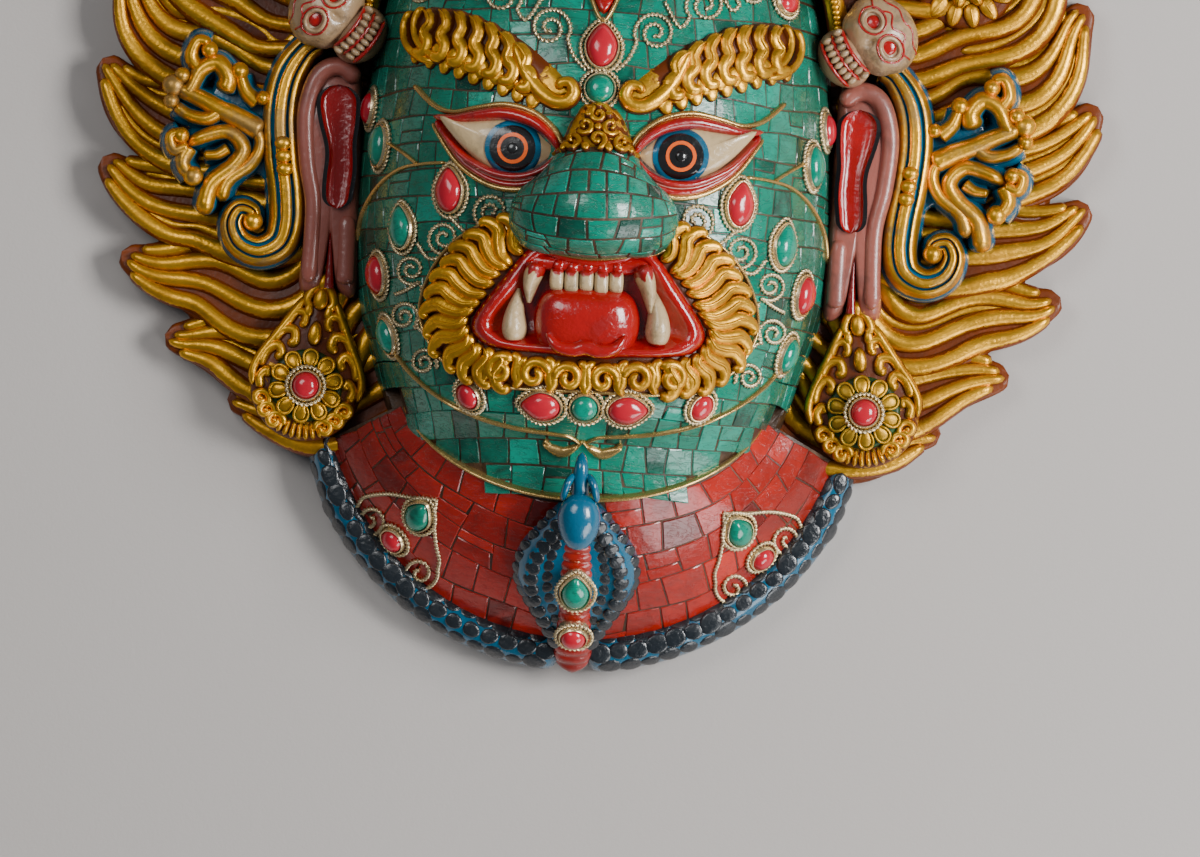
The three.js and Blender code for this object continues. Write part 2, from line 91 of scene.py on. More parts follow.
# ---- The casting's own measures, millimetres ----
WALL = 9.0
HEAD_POWER = 2.3
HEAD_WIDTH = [
    (-104, 69), (-84, 67), (-60, 74), (-30, 82.5), (0, 84.5), (40, 82), (80, 76), (106, 60), (122, 36),
]
HEAD_DEPTH = [(-104, 57), (-88, 59), (-78, 66), (-68, 82), (-35, 86), (0, 86), (40, 84), (80, 73),
              (106, 50), (122, 26), ]
HALO = {"v": 38.0, "radius": 164.0, "thickness": 11.0, "tip": 176.5, "top_rise": 9.5, "cut": -56.0}
LOCKS = 11
LOCK = {"root": 103.0, "half": 19.0, "tip": 3.6, "base": 9.0, "from": -41.0, "step": 10.4, "gain": 0.137}
COLLAR = {"v": -58.0, "neck_x": 66.0, "neck_v": 42.0, "radius": 94.0, "rim": 12.0, "from": 196.0,
          "to": 344.0, "border": 7.4, "edge": 102.8}
PENDANT = {"x": 98.0, "v": -65.0, "radius": 20.5, "base": 6.0, "rise": 22.0}
SKULLS = [(0, 131, 0), (57, 113, 27), (94, 65, 55)]
SKULL = {"width": 31.0, "height": 36.0, "depth": 25.0, "z": 34.0}
ROSETTES = [(126, 90), (88, 137)]
ROSETTE = {"radius": 19.5, "z": 12.0, "rise": 16.0}
SIDES = (("left", -1), ("right", 1))
HOLLOW_FOOT = -95
HOLLOW_TOP = 113
MOUTH_WALL = 76.0
LIP_OUTLINE = [(0, -15.5), (12, -14.2), (21.5, -12.8), (31, -24.5), (40.5, -39.5), (37.5, -46.8),
               (29, -49.3), (14, -50.2), (0, -50.8), (-14, -50.2), (-29, -49.3), (-37.5, -46.8),
               (-40.5, -39.5), (-31, -24.5), (-21.5, -12.8), (-12, -14.2), ]


# ---- Sizes and colours a user would change ----
class MaskSizes(PropertyGroup):
    """Sizes of the surface work."""

    chip: FloatProperty(name="Chip width", description="Mean width of a turquoise chip", default=9.2 * MM,
                        min=4 * MM, unit="LENGTH")
    collar_chip: FloatProperty(name="Collar chip width",
                               description="Mean width of a coral chip on the collar", default=12.5 * MM,
                               min=4 * MM, unit="LENGTH")
    grout: FloatProperty(name="Grout line", description="Gap between chips", default=0.5 * MM, min=0.2 * MM,
                         unit="LENGTH")
    wire: FloatProperty(name="Wire radius", description="Radius of the twisted filigree wire",
                        default=0.92 * MM, min=0.2 * MM, unit="LENGTH")
    twist: FloatProperty(name="Wire twist", description="Length of one full turn of the twisted wire",
                         default=3.1 * MM, min=0.5 * MM, unit="LENGTH")
    ribs: IntProperty(name="Flame ribs", description="Gilded ribs on each flame lock", default=4, min=2)
    seed: IntProperty(name="Seed", description="Seed of the chips' cut and tone", default=7)


def colour(name, description, red, green, blue):
    """A colour property with that default, as linear light."""
    return FloatVectorProperty(name=name, description=description, subtype="COLOR", size=4, min=0, max=1,
                               default=(red, green, blue, 1))


class MaskColours(PropertyGroup):
    """Colours of the finishes."""

    turquoise: colour("Turquoise", "Main tone of the turquoise", 0.0, 0.185, 0.115)
    turquoise_deep: colour("Deep turquoise", "Dark green tone of the turquoise", 0.0, 0.05, 0.032)
    turquoise_pale: colour("Pale turquoise", "Light tone of the turquoise", 0.001, 0.32, 0.22)
    coral: colour("Coral", "Main tone of the coral stones", 0.47, 0.01, 0.024)
    coral_chip: colour("Coral chip", "Main tone of the collar's chips", 0.34, 0.012, 0.006)
    grout: colour("Grout", "Varnished filling between chips", 0.032, 0.015, 0.006)
    gold: colour("Gold leaf", "Gold leaf and gold paint", 0.82, 0.42, 0.028)
    bole: colour("Ground", "Orange-red ground under the gold", 0.2, 0.04, 0.004)
    # painted shade: the dark brown that the carved gilding turns to in its hollows
    shade_umber: colour("Umber", "Dark brown glaze in the hollows", 0.035, 0.01, 0.004)
    wire: colour("Wire", "Silvered brass of the filigree", 0.66, 0.52, 0.3)
    brass: colour("Brass", "Plain gilt wires", 0.56, 0.36, 0.12)
    red: colour("Red", "Gloss red of lips, tongue and lids", 0.34, 0.004, 0.004)
    skin: colour("Ear skin", "Pink-brown paint of the ears", 0.29, 0.085, 0.062)
    bone: colour("Bone", "Cream paint of teeth and skulls", 0.5, 0.36, 0.19)
    blue: colour("Blue", "Blue of the scroll ground and snakes", 0.0, 0.1, 0.185)
    black: colour("Black", "Black paint", 0.008, 0.008, 0.008)
    orange: colour("Orange", "Ring of the iris", 0.78, 0.115, 0.012)
    floor: colour("Floor", "Plain warm grey backdrop", 0.455, 0.422, 0.398)


def sizes():
    """The sizes in use."""
    return bpy.context.scene.mask_sizes


def shaded(hue, factor):
    """A colour made darker or lighter."""
    return (*[min(channel * factor, 1) for channel in hue[:3]], 1)


def tone(name, factor=1.0):
    """One of the colours in use, made darker or lighter."""
    return shaded(getattr(bpy.context.scene.mask_colours, name), factor)


# ---- Curves and surfaces ----
def unit(vectors):
    """Vectors of length one."""
    vectors = np.asarray(vectors, float)
    return vectors / np.maximum(np.linalg.norm(vectors, axis=-1, keepdims=True), 1e-9)


def along(knots, t):
    """Smooth curve through (t, value) knots, the one that the casting follows."""
    keys = np.array(knots, float)
    count = len(keys)
    t = np.asarray(t, float)
    ahead = np.minimum(np.arange(count) + 1, count - 1)
    behind = np.maximum(np.arange(count) - 1, 0)
    slope = (keys[ahead, 1] - keys[behind, 1]) / (keys[ahead, 0] - keys[behind, 0])
    i = np.clip(np.searchsorted(keys[:, 0], t, side="right") - 1, 0, count - 2)
    span = keys[i + 1, 0] - keys[i, 0]
    s = np.clip((t - keys[i, 0]) / span, 0, 1)
    rise = keys[i + 1, 1] - keys[i, 1]
    return (keys[i, 1] + s * s * (3 - 2 * s) * rise + s * (1 - s) ** 2 * span * slope[i] - s * s * (1 - s)
            * span * slope[i + 1])


def spline(places, count, closed=False):
    """Evenly spaced points on a smooth curve through the places."""
    p = np.array(places, float)
    ends = (p[-1:], np.vstack([p[:1], p[1:2]])) if closed else (2 * p[:1] - p[1:2], 2 * p[-1:] - p[-2:-1])
    held = np.vstack([ends[0], p, ends[1]])
    t = np.linspace(0, 1, 24, endpoint=False)[:, None]
    fine = []
    for a, b, c, d in zip(held[:-3], held[1:-2], held[2:-1], held[3:]):
        fine.append(0.5 * (2 * b + (c - a) * t + (2 * a - 5 * b + 4 * c - d) * t ** 2
                           + (3 * b - a - 3 * c + d) * t ** 3))
    fine.append(p[:1] if closed else p[-1:])
    fine = np.vstack(fine)
    length = np.concatenate([[0], np.cumsum(np.linalg.norm(np.diff(fine, axis=0), axis=1))])
    even = np.linspace(0, length[-1], count, endpoint=not closed)
    return np.stack([np.interp(even, length, fine[:, k]) for k in range(p.shape[1])], axis=1)


def mirrored(places, side):
    """Places with x turned to that side."""
    return [(side * p[0], *p[1:]) for p in places]


def spiral(centre, radius, start, turns, count=30, core=0.16):
    """Points of a coil from its outside in; start in degrees, turns negative for clockwise."""
    share = np.linspace(0, 1, count)
    angle = math.radians(start) + TAU * turns * share
    r = radius * (1 - (1 - core) * share)
    return np.stack([centre[0] + r * np.cos(angle), centre[1] + r * np.sin(angle)], axis=1)


def head_height(x, v):
    """Height of the head's surface above the back."""
    share = np.minimum(np.abs(x) / along(HEAD_WIDTH, v), 0.999)
    return along(HEAD_DEPTH, v) * (1 - share ** HEAD_POWER) ** (1 / HEAD_POWER)


def head_normal(x, v):
    """Outward direction of the head's surface."""
    dx = (head_height(x + 1, v) - head_height(x - 1, v)) / 2
    dv = (head_height(x, v + 1) - head_height(x, v - 1)) / 2
    return unit(np.stack([-dx, -dv, np.ones_like(dx)], axis=-1))


def on_head(places, lift=0.0):
    """Points on the head's surface above (x, v) places, and its outward directions there."""
    places = np.asarray(places, float)
    x, v = places[:, 0], places[:, 1]
    out = head_normal(x, v)
    return np.stack([x, v, head_height(x, v)], axis=1) + out * np.reshape(lift, (-1, 1)), out


def on_level(places, z):
    """Points at height z above (x, v) places, facing straight out."""
    places = np.asarray(places, float)
    out = np.tile([0.0, 0.0, 1.0], (len(places), 1))
    return np.column_stack([places[:, :2], np.broadcast_to(z, len(places))]), out


def head_line(places, side, count, lift=0.0):
    """Smooth route over the head through (x, v) places turned to that side."""
    return on_head(spline(mirrored(places, side), count), lift)


def level_line(places, side, count, z):
    """Smooth route at height z through (x, v) places turned to that side."""
    return on_level(spline(mirrored(places, side), count), z)


def toward(angle, radius=1.0):
    """Flat place at that angle and radius from the middle."""
    return np.array([radius * math.cos(angle), radius * math.sin(angle)])


def head_surface(angle, v, inset=0.0):
    """Point of the head's surface: angle runs from 0 at the right edge to pi at the left one."""
    side = np.cos(angle)
    half = along(HEAD_WIDTH, v) - inset
    tall = along(HEAD_DEPTH, v) - inset
    x = half * np.sign(side) * np.abs(side) ** (2 / HEAD_POWER)
    return np.stack([x, v + 0 * x, tall * np.abs(np.sin(angle)) ** (2 / HEAD_POWER)], axis=-1)


def collar_surface(angle, t):
    """Point of the collar between its neck (t = 0) and its rim (t = 1)."""
    inner_x = COLLAR["neck_x"] * np.cos(angle)
    inner_v = COLLAR["v"] + COLLAR["neck_v"] * np.sin(angle)
    outer_x = COLLAR["radius"] * np.cos(angle)
    outer_v = COLLAR["v"] + COLLAR["radius"] * np.sin(angle)
    share = np.minimum(np.abs(inner_x / 70), 1)
    neck = along(HEAD_DEPTH, -95) * (1 - share ** HEAD_POWER) ** (1 / HEAD_POWER)
    z = COLLAR["rim"] + (np.maximum(neck, 16) - COLLAR["rim"]) * (1 - t) + 5 * np.sin(math.pi * t)
    return np.stack([inner_x + (outer_x - inner_x) * t, inner_v + (outer_v - inner_v) * t, z], axis=-1)


def collar_normal(angle, t):
    """Outward direction of the collar."""
    angle, t = np.broadcast_arrays(np.asarray(angle, float), np.asarray(t, float))
    across = collar_surface(angle + 0.01, t) - collar_surface(angle - 0.01, t)
    down = collar_surface(angle, t + 0.01) - collar_surface(angle, t - 0.01)
    out = unit(np.cross(across, down))
    return out * np.sign(out[..., 2:3])


def collar_share(x, v):
    """Angle and share from neck to rim of the place on the collar above (x, v)."""
    low = np.full(np.shape(x), -0.4)
    high = np.full(np.shape(x), 1.4)
    for _ in range(24):
        t = (low + high) / 2
        wide = COLLAR["neck_x"] + (COLLAR["radius"] - COLLAR["neck_x"]) * t
        tall = COLLAR["neck_v"] + (COLLAR["radius"] - COLLAR["neck_v"]) * t
        beyond = (x / wide) ** 2 + ((v - COLLAR["v"]) / tall) ** 2 > 1
        low = np.where(beyond, t, low)
        high = np.where(beyond, high, t)
    return np.arctan2((v - COLLAR["v"]) / tall, x / wide), t


def on_collar(places, lift=0.0):
    """Points on the collar above (x, v) places, and its outward directions there."""
    places = np.asarray(places, float)
    angle, t = collar_share(places[:, 0], places[:, 1])
    out = collar_normal(angle, t)
    return collar_surface(angle, t) + out * np.reshape(lift, (-1, 1)), out


NOSE_HEART = np.array([0.0, 2.0, 76.0])
# centre (x, v, z) and radii of the balls that the nose is blended from
NOSE_BALLS = [((0, 0.5, 90), (21, 16, 20)), ((-17.5, -2.5, 85), (11.5, 11.5, 15)),
              ((17.5, -2.5, 85), (11.5, 11.5, 15)), ((0, 12, 86), (15, 13, 17)), ((0, 24, 84), (10, 14, 9)),
              ]
NOSE_BLEND = 3.2


def nose_surface(across, down):
    """Point of the nose's skin: both are angles, from its left to its right and from lip to bridge."""
    across, down = np.broadcast_arrays(np.asarray(across, float), np.asarray(down, float))
    ray = np.stack([np.sin(across), -np.cos(across) * np.cos(down), np.cos(across) * np.sin(down)], axis=-1)
    low = np.zeros(across.shape)
    high = np.full(across.shape, 60.0)
    for _ in range(26):
        mid = (low + high) / 2
        spot = NOSE_HEART + ray * mid[..., None]
        total = 0.0
        for centre, radii in NOSE_BALLS:
            reach = np.linalg.norm((spot - np.array(centre)) / np.array(radii), axis=-1)
            total = total + np.exp(-(reach - 1) * min(radii) / NOSE_BLEND)
        inside = total > 1
        low = np.where(inside, mid, low)
        high = np.where(inside, high, mid)
    return NOSE_HEART + ray * low[..., None]


def nose_sheet(spread, low, high, count):
    """Square grid of points of the nose's skin within those angles, in degrees."""
    across = np.radians(np.linspace(-spread, spread, count))
    down = np.radians(np.linspace(low, high, count))
    return nose_surface(across[:, None], down[None, :])


def inside_outline(x, v, outline):
    """Whether the point lies inside the closed outline."""
    hit = False
    for (ax, av), (bx, bv) in zip(outline, np.roll(outline, -1, axis=0)):
        if (av > v) != (bv > v) and x < (bx - ax) * (v - av) / (bv - av) + ax:
            hit = not hit
    return hit


# ---- Meshes ----
def grid_faces(rows, columns, wrap=True):
    """Four-sided faces of a grid of points; wrap joins the last column to the first."""
    i, j = np.meshgrid(np.arange(rows - 1), np.arange(columns if wrap else columns - 1), indexing="ij")
    right = (j + 1) % columns
    quads = np.stack([i * columns + j, i * columns + right, (i + 1) * columns + right,
                      (i + 1) * columns + j], -1)
    return quads.reshape(-1, 4)


def in_frame(places):
    """Places of the layout as points of the frame, in metres."""
    return ((np.asarray(places) + [0, LAYOUT_Y, 0]) * MM).tolist()


def write_values(mesh, label, values):
    """Keeps one value for each point of a mesh."""
    layer = mesh.attributes.new(label, "FLOAT", "POINT")
    layer.data.foreach_set("value", np.asarray(values, np.float32))


def settle(piece, slot, nodes=()):
    """Puts a finished piece on the mask's one body, in place of the casting's nodes."""
    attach(piece, "root")
    if nodes:
        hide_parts(*nodes)
    return piece


class Form:
    """Collects closed pieces of mesh, each with its tone, relief and paint."""

    def __init__(self):
        self.points = []
        self.faces = []
        self.tones = []
        self.reliefs = []
        self.paints = []
        self.count = 0

    def add(self, points, quads, rings=(), tone=0.5, relief=1.0, paint=0):
        """Adds a closed shell of quads and of many-sided rings, turned to face outwards."""
        points = np.asarray(points, float).reshape(-1, 3)
        local = points - points.mean(axis=0)
        corners = local[quads]
        volume = 0.0
        for second, third in ((1, 2), (2, 3)):
            volume += np.einsum("ij,ij->", corners[:, 0], np.cross(corners[:, second], corners[:, third]))
        for ring in rings:
            loop = local[list(ring)]
            volume += np.einsum("ij,ij->", np.cross(loop[1:-1], loop[2:]),
                                np.tile(loop[0], (len(loop) - 2, 1)))
        if volume < 0:
            quads = quads[:, ::-1]
            rings = [ring[::-1] for ring in rings]
        self.points.append(points)
        self.faces.extend((quads + self.count).tolist())
        self.faces.extend([[k + self.count for k in ring] for ring in rings])
        self.tones.append(np.broadcast_to(tone, len(points)))
        self.reliefs.append(np.broadcast_to(relief, len(points)))
        self.paints.extend([paint] * (len(quads) + len(rings)))
        self.count += len(points)

    def tube(self, rings, closed=False, **look):
        """Adds rings of equal length joined in a row, with a face at each end unless closed."""
        rows, columns = len(rings), len(rings[0])
        quads = grid_faces(rows + closed, columns) % (rows * columns)
        last = (rows - 1) * columns
        ends = [] if closed else [range(columns)[::-1], range(last, last + columns)]
        self.add(np.vstack(rings), quads, ends, **look)

    def cushion(self, points, count, **look):
        """Adds rings of count points that close on the last point, with a face under the first ring."""
        hub = len(points) - 1
        last = hub - count
        caps = [[last + k, last + (k + 1) % count, hub] for k in range(count)]
        self.add(points, grid_faces(hub // count, count), [*caps, range(count)[::-1]], **look)

    def patch(self, sheet, **look):
        """Adds a sheet of points, closed behind by one face round its edge."""
        rows, columns = sheet.shape[:2]
        index = np.arange(rows * columns).reshape(rows, columns)
        edge = np.concatenate([index[0], index[1:, -1], index[-1, -2::-1], index[-2:0:-1, 0]])
        self.add(sheet, grid_faces(rows, columns, wrap=False), [edge[::-1]], **look)

    def finish(self, name, finishes, slot, nodes=(), smooth=60):
        """Makes the object with those finishes, a name for each paint."""
        mesh = bpy.data.meshes.new(name)
        mesh.from_pydata(in_frame(np.vstack(self.points)), [], self.faces)
        write_values(mesh, "tone", np.concatenate(self.tones))
        write_values(mesh, "relief", np.concatenate(self.reliefs))
        for label in finishes:
            mesh.materials.append(material(label))
        mesh.polygons.foreach_set("material_index", np.array(self.paints, np.int32))
        mesh.update()
        mesh.shade_smooth()
        mesh.set_sharp_from_angle(angle=math.radians(smooth))
        settle(linked(name, mesh), slot, nodes)


def headings(at, closed=False):
    """Directions in which a route runs."""
    if closed:
        return unit(np.roll(at, -1, axis=0) - np.roll(at, 1, axis=0))
    return unit(np.gradient(at, axis=0))


def rounding(count, start, end):
    """Factor that rounds off the ends of a route over those shares of its length."""
    s = np.linspace(0, 1, count)
    factor = np.ones(count)
    for share, from_end in ((start, s), (end, 1 - s)):
        if share:
            factor *= np.sqrt(np.clip(1 - np.clip(1 - from_end / share, 0, 1) ** 2, 0.0, 1))
    return np.maximum(factor, 0.03)


def round_back(q, power=2):
    """Height of a rounded back across a band, from 1 in its middle to 0 at its sides."""
    return np.sqrt(np.clip(1 - np.abs(q) ** power, 0, 1))


def ribbon(form, route, width, lift, sink=2.0, across=9, closed=False, marks=None, **look):
    """Band along a route: width(s) to each side, its back raised by lift(s, q) for q from -1 to 1."""
    at, out = route
    count = len(at)
    s = np.linspace(0, 1, count)
    q = -np.cos(np.linspace(0, math.pi, across))
    side = unit(np.cross(headings(at, closed), out))
    half = np.broadcast_to(width(s), count)
    raised = np.broadcast_to(lift(s[:, None], q[None, :]), (count, across))
    top = at[:, None] + side[:, None] * (half[:, None] * q)[..., None] + out[:, None] * raised[..., None]
    drop = np.broadcast_to(sink, count)[:, None]
    low = [at + side * half[:, None] - out * drop, at - side * half[:, None] - out * drop]
    relief = np.zeros((count, across + 2))
    relief[:, :across] = marks(s[:, None], q[None, :]) if marks else round_back(q)
    form.tube(np.concatenate([top, np.stack(low, axis=1)], axis=1), closed, relief=relief.ravel(), **look)


def ridge(form, route, width, height, sink=2.0, sides=8, start=0.0, end=0.0, closed=False, **look):
    """Carved ridge with a round back; width and height are numbers or functions of the share along."""
    count = len(route[0])
    blunt = rounding(count, start, end)
    s = np.linspace(0, 1, count)
    half = (width(s) if callable(width) else width) * blunt
    tall = (height(s) if callable(height) else height) * blunt
    ribbon(form, route, lambda _: half, lambda _, q: tall[:, None] * round_back(q), sink=sink * blunt,
           across=sides, closed=closed, **look)


def basis(out, ahead):
    """Columns across, ahead and out of a small frame that faces out."""
    out = unit(out)
    ahead = unit(np.asarray(ahead, float) - out * np.dot(ahead, out))
    return np.stack([np.cross(ahead, out), ahead, out], axis=1)


def ball(form, centre, radii, turn=np.eye(3), rings=10, spokes=16, shape=None, **look):
    """Closed ball; shape(direction) may scale its radius."""
    polar = np.linspace(0, math.pi, rings + 1)[1:-1]
    azimuth = np.linspace(0, TAU, spokes, endpoint=False)
    a, b = np.meshgrid(polar, azimuth, indexing="ij")
    ray = np.stack([np.sin(a) * np.cos(b), np.sin(a) * np.sin(b), np.cos(a)], axis=-1).reshape(-1, 3)
    ray = np.vstack([ray, [0, 0, 1], [0, 0, -1]])
    points = ray * (shape(ray)[:, None] if shape else 1.0) * np.array(radii)
    top = len(ray) - 2
    low = top - spokes
    caps = [[top, (k + 1) % spokes, k] for k in range(spokes)]
    caps += [[top + 1, low + k, low + (k + 1) % spokes] for k in range(spokes)]
    form.add(points @ turn.T + centre, grid_faces(rings - 1, spokes), caps, **look)


def dome(form, centre, turn, outline, rise, sink=1.0, steps=5, round_off=0.5, **look):
    """Cushion on a flat outline of (across, ahead) points: a petal, scale, bead or polished stone."""
    outline = np.asarray(outline, float)
    middle = outline.mean(axis=0)
    rings = [np.insert(outline, 2, -sink, axis=1)]
    for step in np.linspace(0, math.pi / 2, steps + 1)[:-1]:
        flat = middle + (outline - middle) * math.cos(step) ** round_off
        rings.append(np.insert(flat, 2, rise * math.sin(step), axis=1))
    points = np.vstack([*rings, [[*middle, rise]]])
    look.setdefault("relief", np.clip(points[:, 2] / max(rise, 1e-6), 0, 1))
    form.cushion(points @ np.asarray(turn).T + np.asarray(centre, float), len(outline), **look)


def slab(form, outline, low, high, bevel=1.0, **look):
    """Flat plate on an (x, v) outline with a rounded upper edge."""
    outline = np.asarray(outline, float)
    middle = outline.mean(axis=0)
    reach = np.linalg.norm(outline - middle, axis=1, keepdims=True)
    rings = [np.insert(outline, 2, low, axis=1)]
    for step in np.linspace(0, math.pi / 2, 4):
        flat = middle + (outline - middle) * (1 - bevel * (1 - math.cos(step)) / reach)
        rings.append(np.insert(flat, 2, high - bevel + bevel * math.sin(step), axis=1))
    form.cushion(np.vstack([*rings, [[*middle, high]]]), len(outline), **look)


CHIP_BEVEL = 0.34  # width of the softened edge of a chip
CHIP_DEPTH = 1.2  # how far a chip reaches below the surface


def mosaic(form, surface, normal, lines, span, chip, gap, seed, keep, bend=None, lift=0.34, inner=()):
    """Rows of hand-cut chips on a surface: lines are the row edges, span the ends of a row."""
    rng = random.Random(seed)
    waves = [(rng.uniform(0.02, 0.05), rng.uniform(0, TAU), rng.uniform(0.5, 1.0)) for _ in lines]
    steps = np.diff(lines).mean()
    up = np.array([-CHIP_DEPTH, 0.0, lift, *[lift * 1.05] * len(inner), lift, 0.0, -CHIP_DEPTH])
    rise = np.minimum(*np.meshgrid(up, up, indexing="ij"))
    relief = np.clip((rise + CHIP_DEPTH) / (lift + CHIP_DEPTH), 0, 1).ravel()

    def line(k, length):
        pace, phase, size = waves[k]
        return lines[k] + steps * 0.1 * size * np.sin(length * pace * 3 + phase) + (bend(length) if bend
                                                                                    else 0)

    def cuts(size):
        """Shares along a chip's side at which its rows of points lie."""
        margin = gap / 2 / size
        soft = CHIP_BEVEL / size
        return np.array([margin, margin, margin + soft, *inner, 1 - margin - soft, 1 - margin, 1 - margin])

    for k in range(len(lines) - 1):
        middle = (lines[k] + lines[k + 1]) / 2
        u = np.linspace(*span, 240)
        track = surface(u, np.full(240, middle))
        run = np.concatenate([[0], np.cumsum(np.linalg.norm(np.diff(track, axis=0), axis=1))])
        run -= np.interp((u[0] + u[-1]) / 2, u, run) if u[0] < u[-1] else run[120]
        edges = [surface(u[120:121], np.array([level])) for level in (lines[k + 1], lines[k])]
        tall = np.linalg.norm(edges[0] - edges[1])
        cut = run[0]
        first_share = rng.uniform(0.4, 1.0)
        lean = rng.uniform(-1, 1)
        while cut < run[-1] - 2:
            wide = chip * rng.uniform(0.72, 1.28) * first_share
            first_share = 1.0
            if run[-1] - cut - wide < chip * 0.45:
                wide = run[-1] - cut
            next_lean = rng.uniform(-1.0, 1.0)
            parts = [(0.0, 1.0)]
            if rng.random() < 0.13:
                share = rng.uniform(0.38, 0.62)
                parts = [(0.0, share), (share, 1.0)]
            for low, high in parts:
                shade = min(max(rng.gauss(0.5, 0.24), 0), 1)
                if not keep(surface(np.interp([cut + wide / 2], run, u), np.array([middle]))[0]):
                    continue
                aa, bb = np.meshgrid(cuts(wide), cuts(tall * (high - low)), indexing="ij")
                left = cut + lean * 0.9 * (bb - 0.5) * 2
                right = cut + wide + next_lean * 0.9 * (bb - 0.5) * 2
                length = left + (right - left) * aa
                w = line(k, length) + (line(k + 1, length) - line(k, length)) * (low + (high - low) * bb)
                spot = np.interp(length, run, u)
                form.patch(surface(spot, w) + normal(spot, w) * rise[..., None], tone=shade, relief=relief)
            cut += wide
            lean = next_lean


def surface_normal(surface, step_u, step_w):
    """Function for the outward direction of a surface, away from the back."""
    def normal(u, w):
        across = surface(u + step_u, w) - surface(u - step_u, w)
        down = surface(u, w + step_w) - surface(u, w - step_w)
        return unit(np.cross(across, down))
    return normal


# ---- Node groups and materials ----
class Wiring:
    """Adds nodes to a node tree and joins them up."""

    def __init__(self, tree):
        self.tree = tree

    def feed(self, socket, value):
        """Links a socket to the value, or sets it."""
        if isinstance(value, bpy.types.NodeSocket):
            self.tree.links.new(value, socket)
        else:
            socket.default_value = value

    def add(self, kind, inputs=None, **settings):
        """A node with those settings and inputs."""
        node = self.tree.nodes.new(kind)
        for key, value in settings.items():
            setattr(node, key, value)
        for key, value in (inputs or {}).items():
            self.feed(node.inputs[key], value)
        return node

    def math(self, operation, a, b=0.0):
        """Output of a Math node."""
        return self.add("ShaderNodeMath", {0: a, 1: b}, operation=operation).outputs[0]

    def plus(self, a, b):
        """Sum of two values."""
        return self.math("ADD", a, b)

    def times(self, a, b):
        """Product of two values."""
        return self.math("MULTIPLY", a, b)

    def mix(self, factor, a, b):
        """Output of a colour mix."""
        return self.add("ShaderNodeMix", {0: factor, 6: a, 7: b}, data_type="RGBA").outputs[2]

    def span(self, value, low, high, to_low=0.0, to_high=1.0):
        """Value mapped smoothly from one range to another."""
        inputs = {"Value": value, "From Min": low, "From Max": high, "To Min": to_low, "To Max": to_high}
        return self.add("ShaderNodeMapRange", inputs, interpolation_type="SMOOTHSTEP").outputs[0]

    def place(self):
        """Object coordinates."""
        return self.add("ShaderNodeTexCoord").outputs["Object"]

    def noise(self, scale, detail=4.0, distortion=0.0, vector=None):
        """Value of a noise at that scale, per metre."""
        inputs = {"Scale": scale, "Detail": detail, "Distortion": distortion,
                  "Vector": vector or self.place()}
        return self.add("ShaderNodeTexNoise", inputs).outputs["Fac"]

    def attribute(self, name):
        """Value of a mesh attribute."""
        return self.add("ShaderNodeAttribute", attribute_name=name).outputs["Fac"]

    def group(self, tree, **inputs):
        """Outputs of a node group with those inputs."""
        return self.add("ShaderNodeGroup", inputs, node_tree=tree).outputs

    def pools(self, scale, amount=0.5):
        """Mask of pooled varnish."""
        return self.group(varnish_pools(), Scale=scale, Amount=amount)["Mask"]

    def grain(self, scale):
        """Height of a hand-worked surface's unevenness."""
        return self.group(fine_grain(), Scale=scale)["Height"]

    def stone(self, deep, main, pale, scale, veins):
        """Colour and veins of stone, each chip or stone with its own tone."""
        return self.group(stone_veins(), Tone=self.attribute("tone"), Scale=scale, Veins=veins, Deep=deep,
                          Main=main, Pale=pale)


def node_group(name, kind, inputs, outputs, build):
    """The node group of that name, built once; sockets are given by a default value or by their kind."""
    found = bpy.data.node_groups.get(name)
    if found:
        return found
    tree = bpy.data.node_groups.new(name, kind)
    for way, sockets in (("INPUT", inputs), ("OUTPUT", outputs)):
        for label, value in sockets.items():
            typed = {float: "Float", tuple: "Color"}.get(type(value), value)
            socket = tree.interface.new_socket(label, in_out=way, socket_type=f"NodeSocket{typed}")
            if typed != value:
                socket.default_value = value
    w = Wiring(tree)
    results = build(w, tree.nodes.new("NodeGroupInput").outputs)
    sink = tree.nodes.new("NodeGroupOutput")
    for label, result in zip(outputs, results):
        w.feed(sink.inputs[label], result)
    return tree


def varnish_pools():
    """Uneven dark varnish: a mask of soft blotches and smaller stains."""
    def build(w, source):
        broad = w.noise(source["Scale"], 5.0, 0.6)
        small = w.noise(w.times(source["Scale"], 5.3), 6.0, 1.2)
        both = w.plus(w.times(broad, 0.65), w.times(small, 0.35))
        edge = w.math("SUBTRACT", 0.62, w.times(source["Amount"], 0.28))
        return [w.span(both, edge, w.plus(edge, 0.16))]
    return node_group("varnish_pools", "ShaderNodeTree", {"Scale": 30.0, "Amount": 0.5}, {"Mask": "Float"},
                      build)


def fine_grain():
    """Small unevenness of a hand-worked surface, as a height."""
    def build(w, source):
        return [w.plus(w.noise(source["Scale"], 5.0, 0.3), w.noise(w.times(source["Scale"], 0.27), 3.0,
                                                                   0.5))]
    return node_group("fine_grain", "ShaderNodeTree", {"Scale": 900.0}, {"Height": "Float"}, build)


GREY = (0.5, 0.5, 0.5, 1.0)


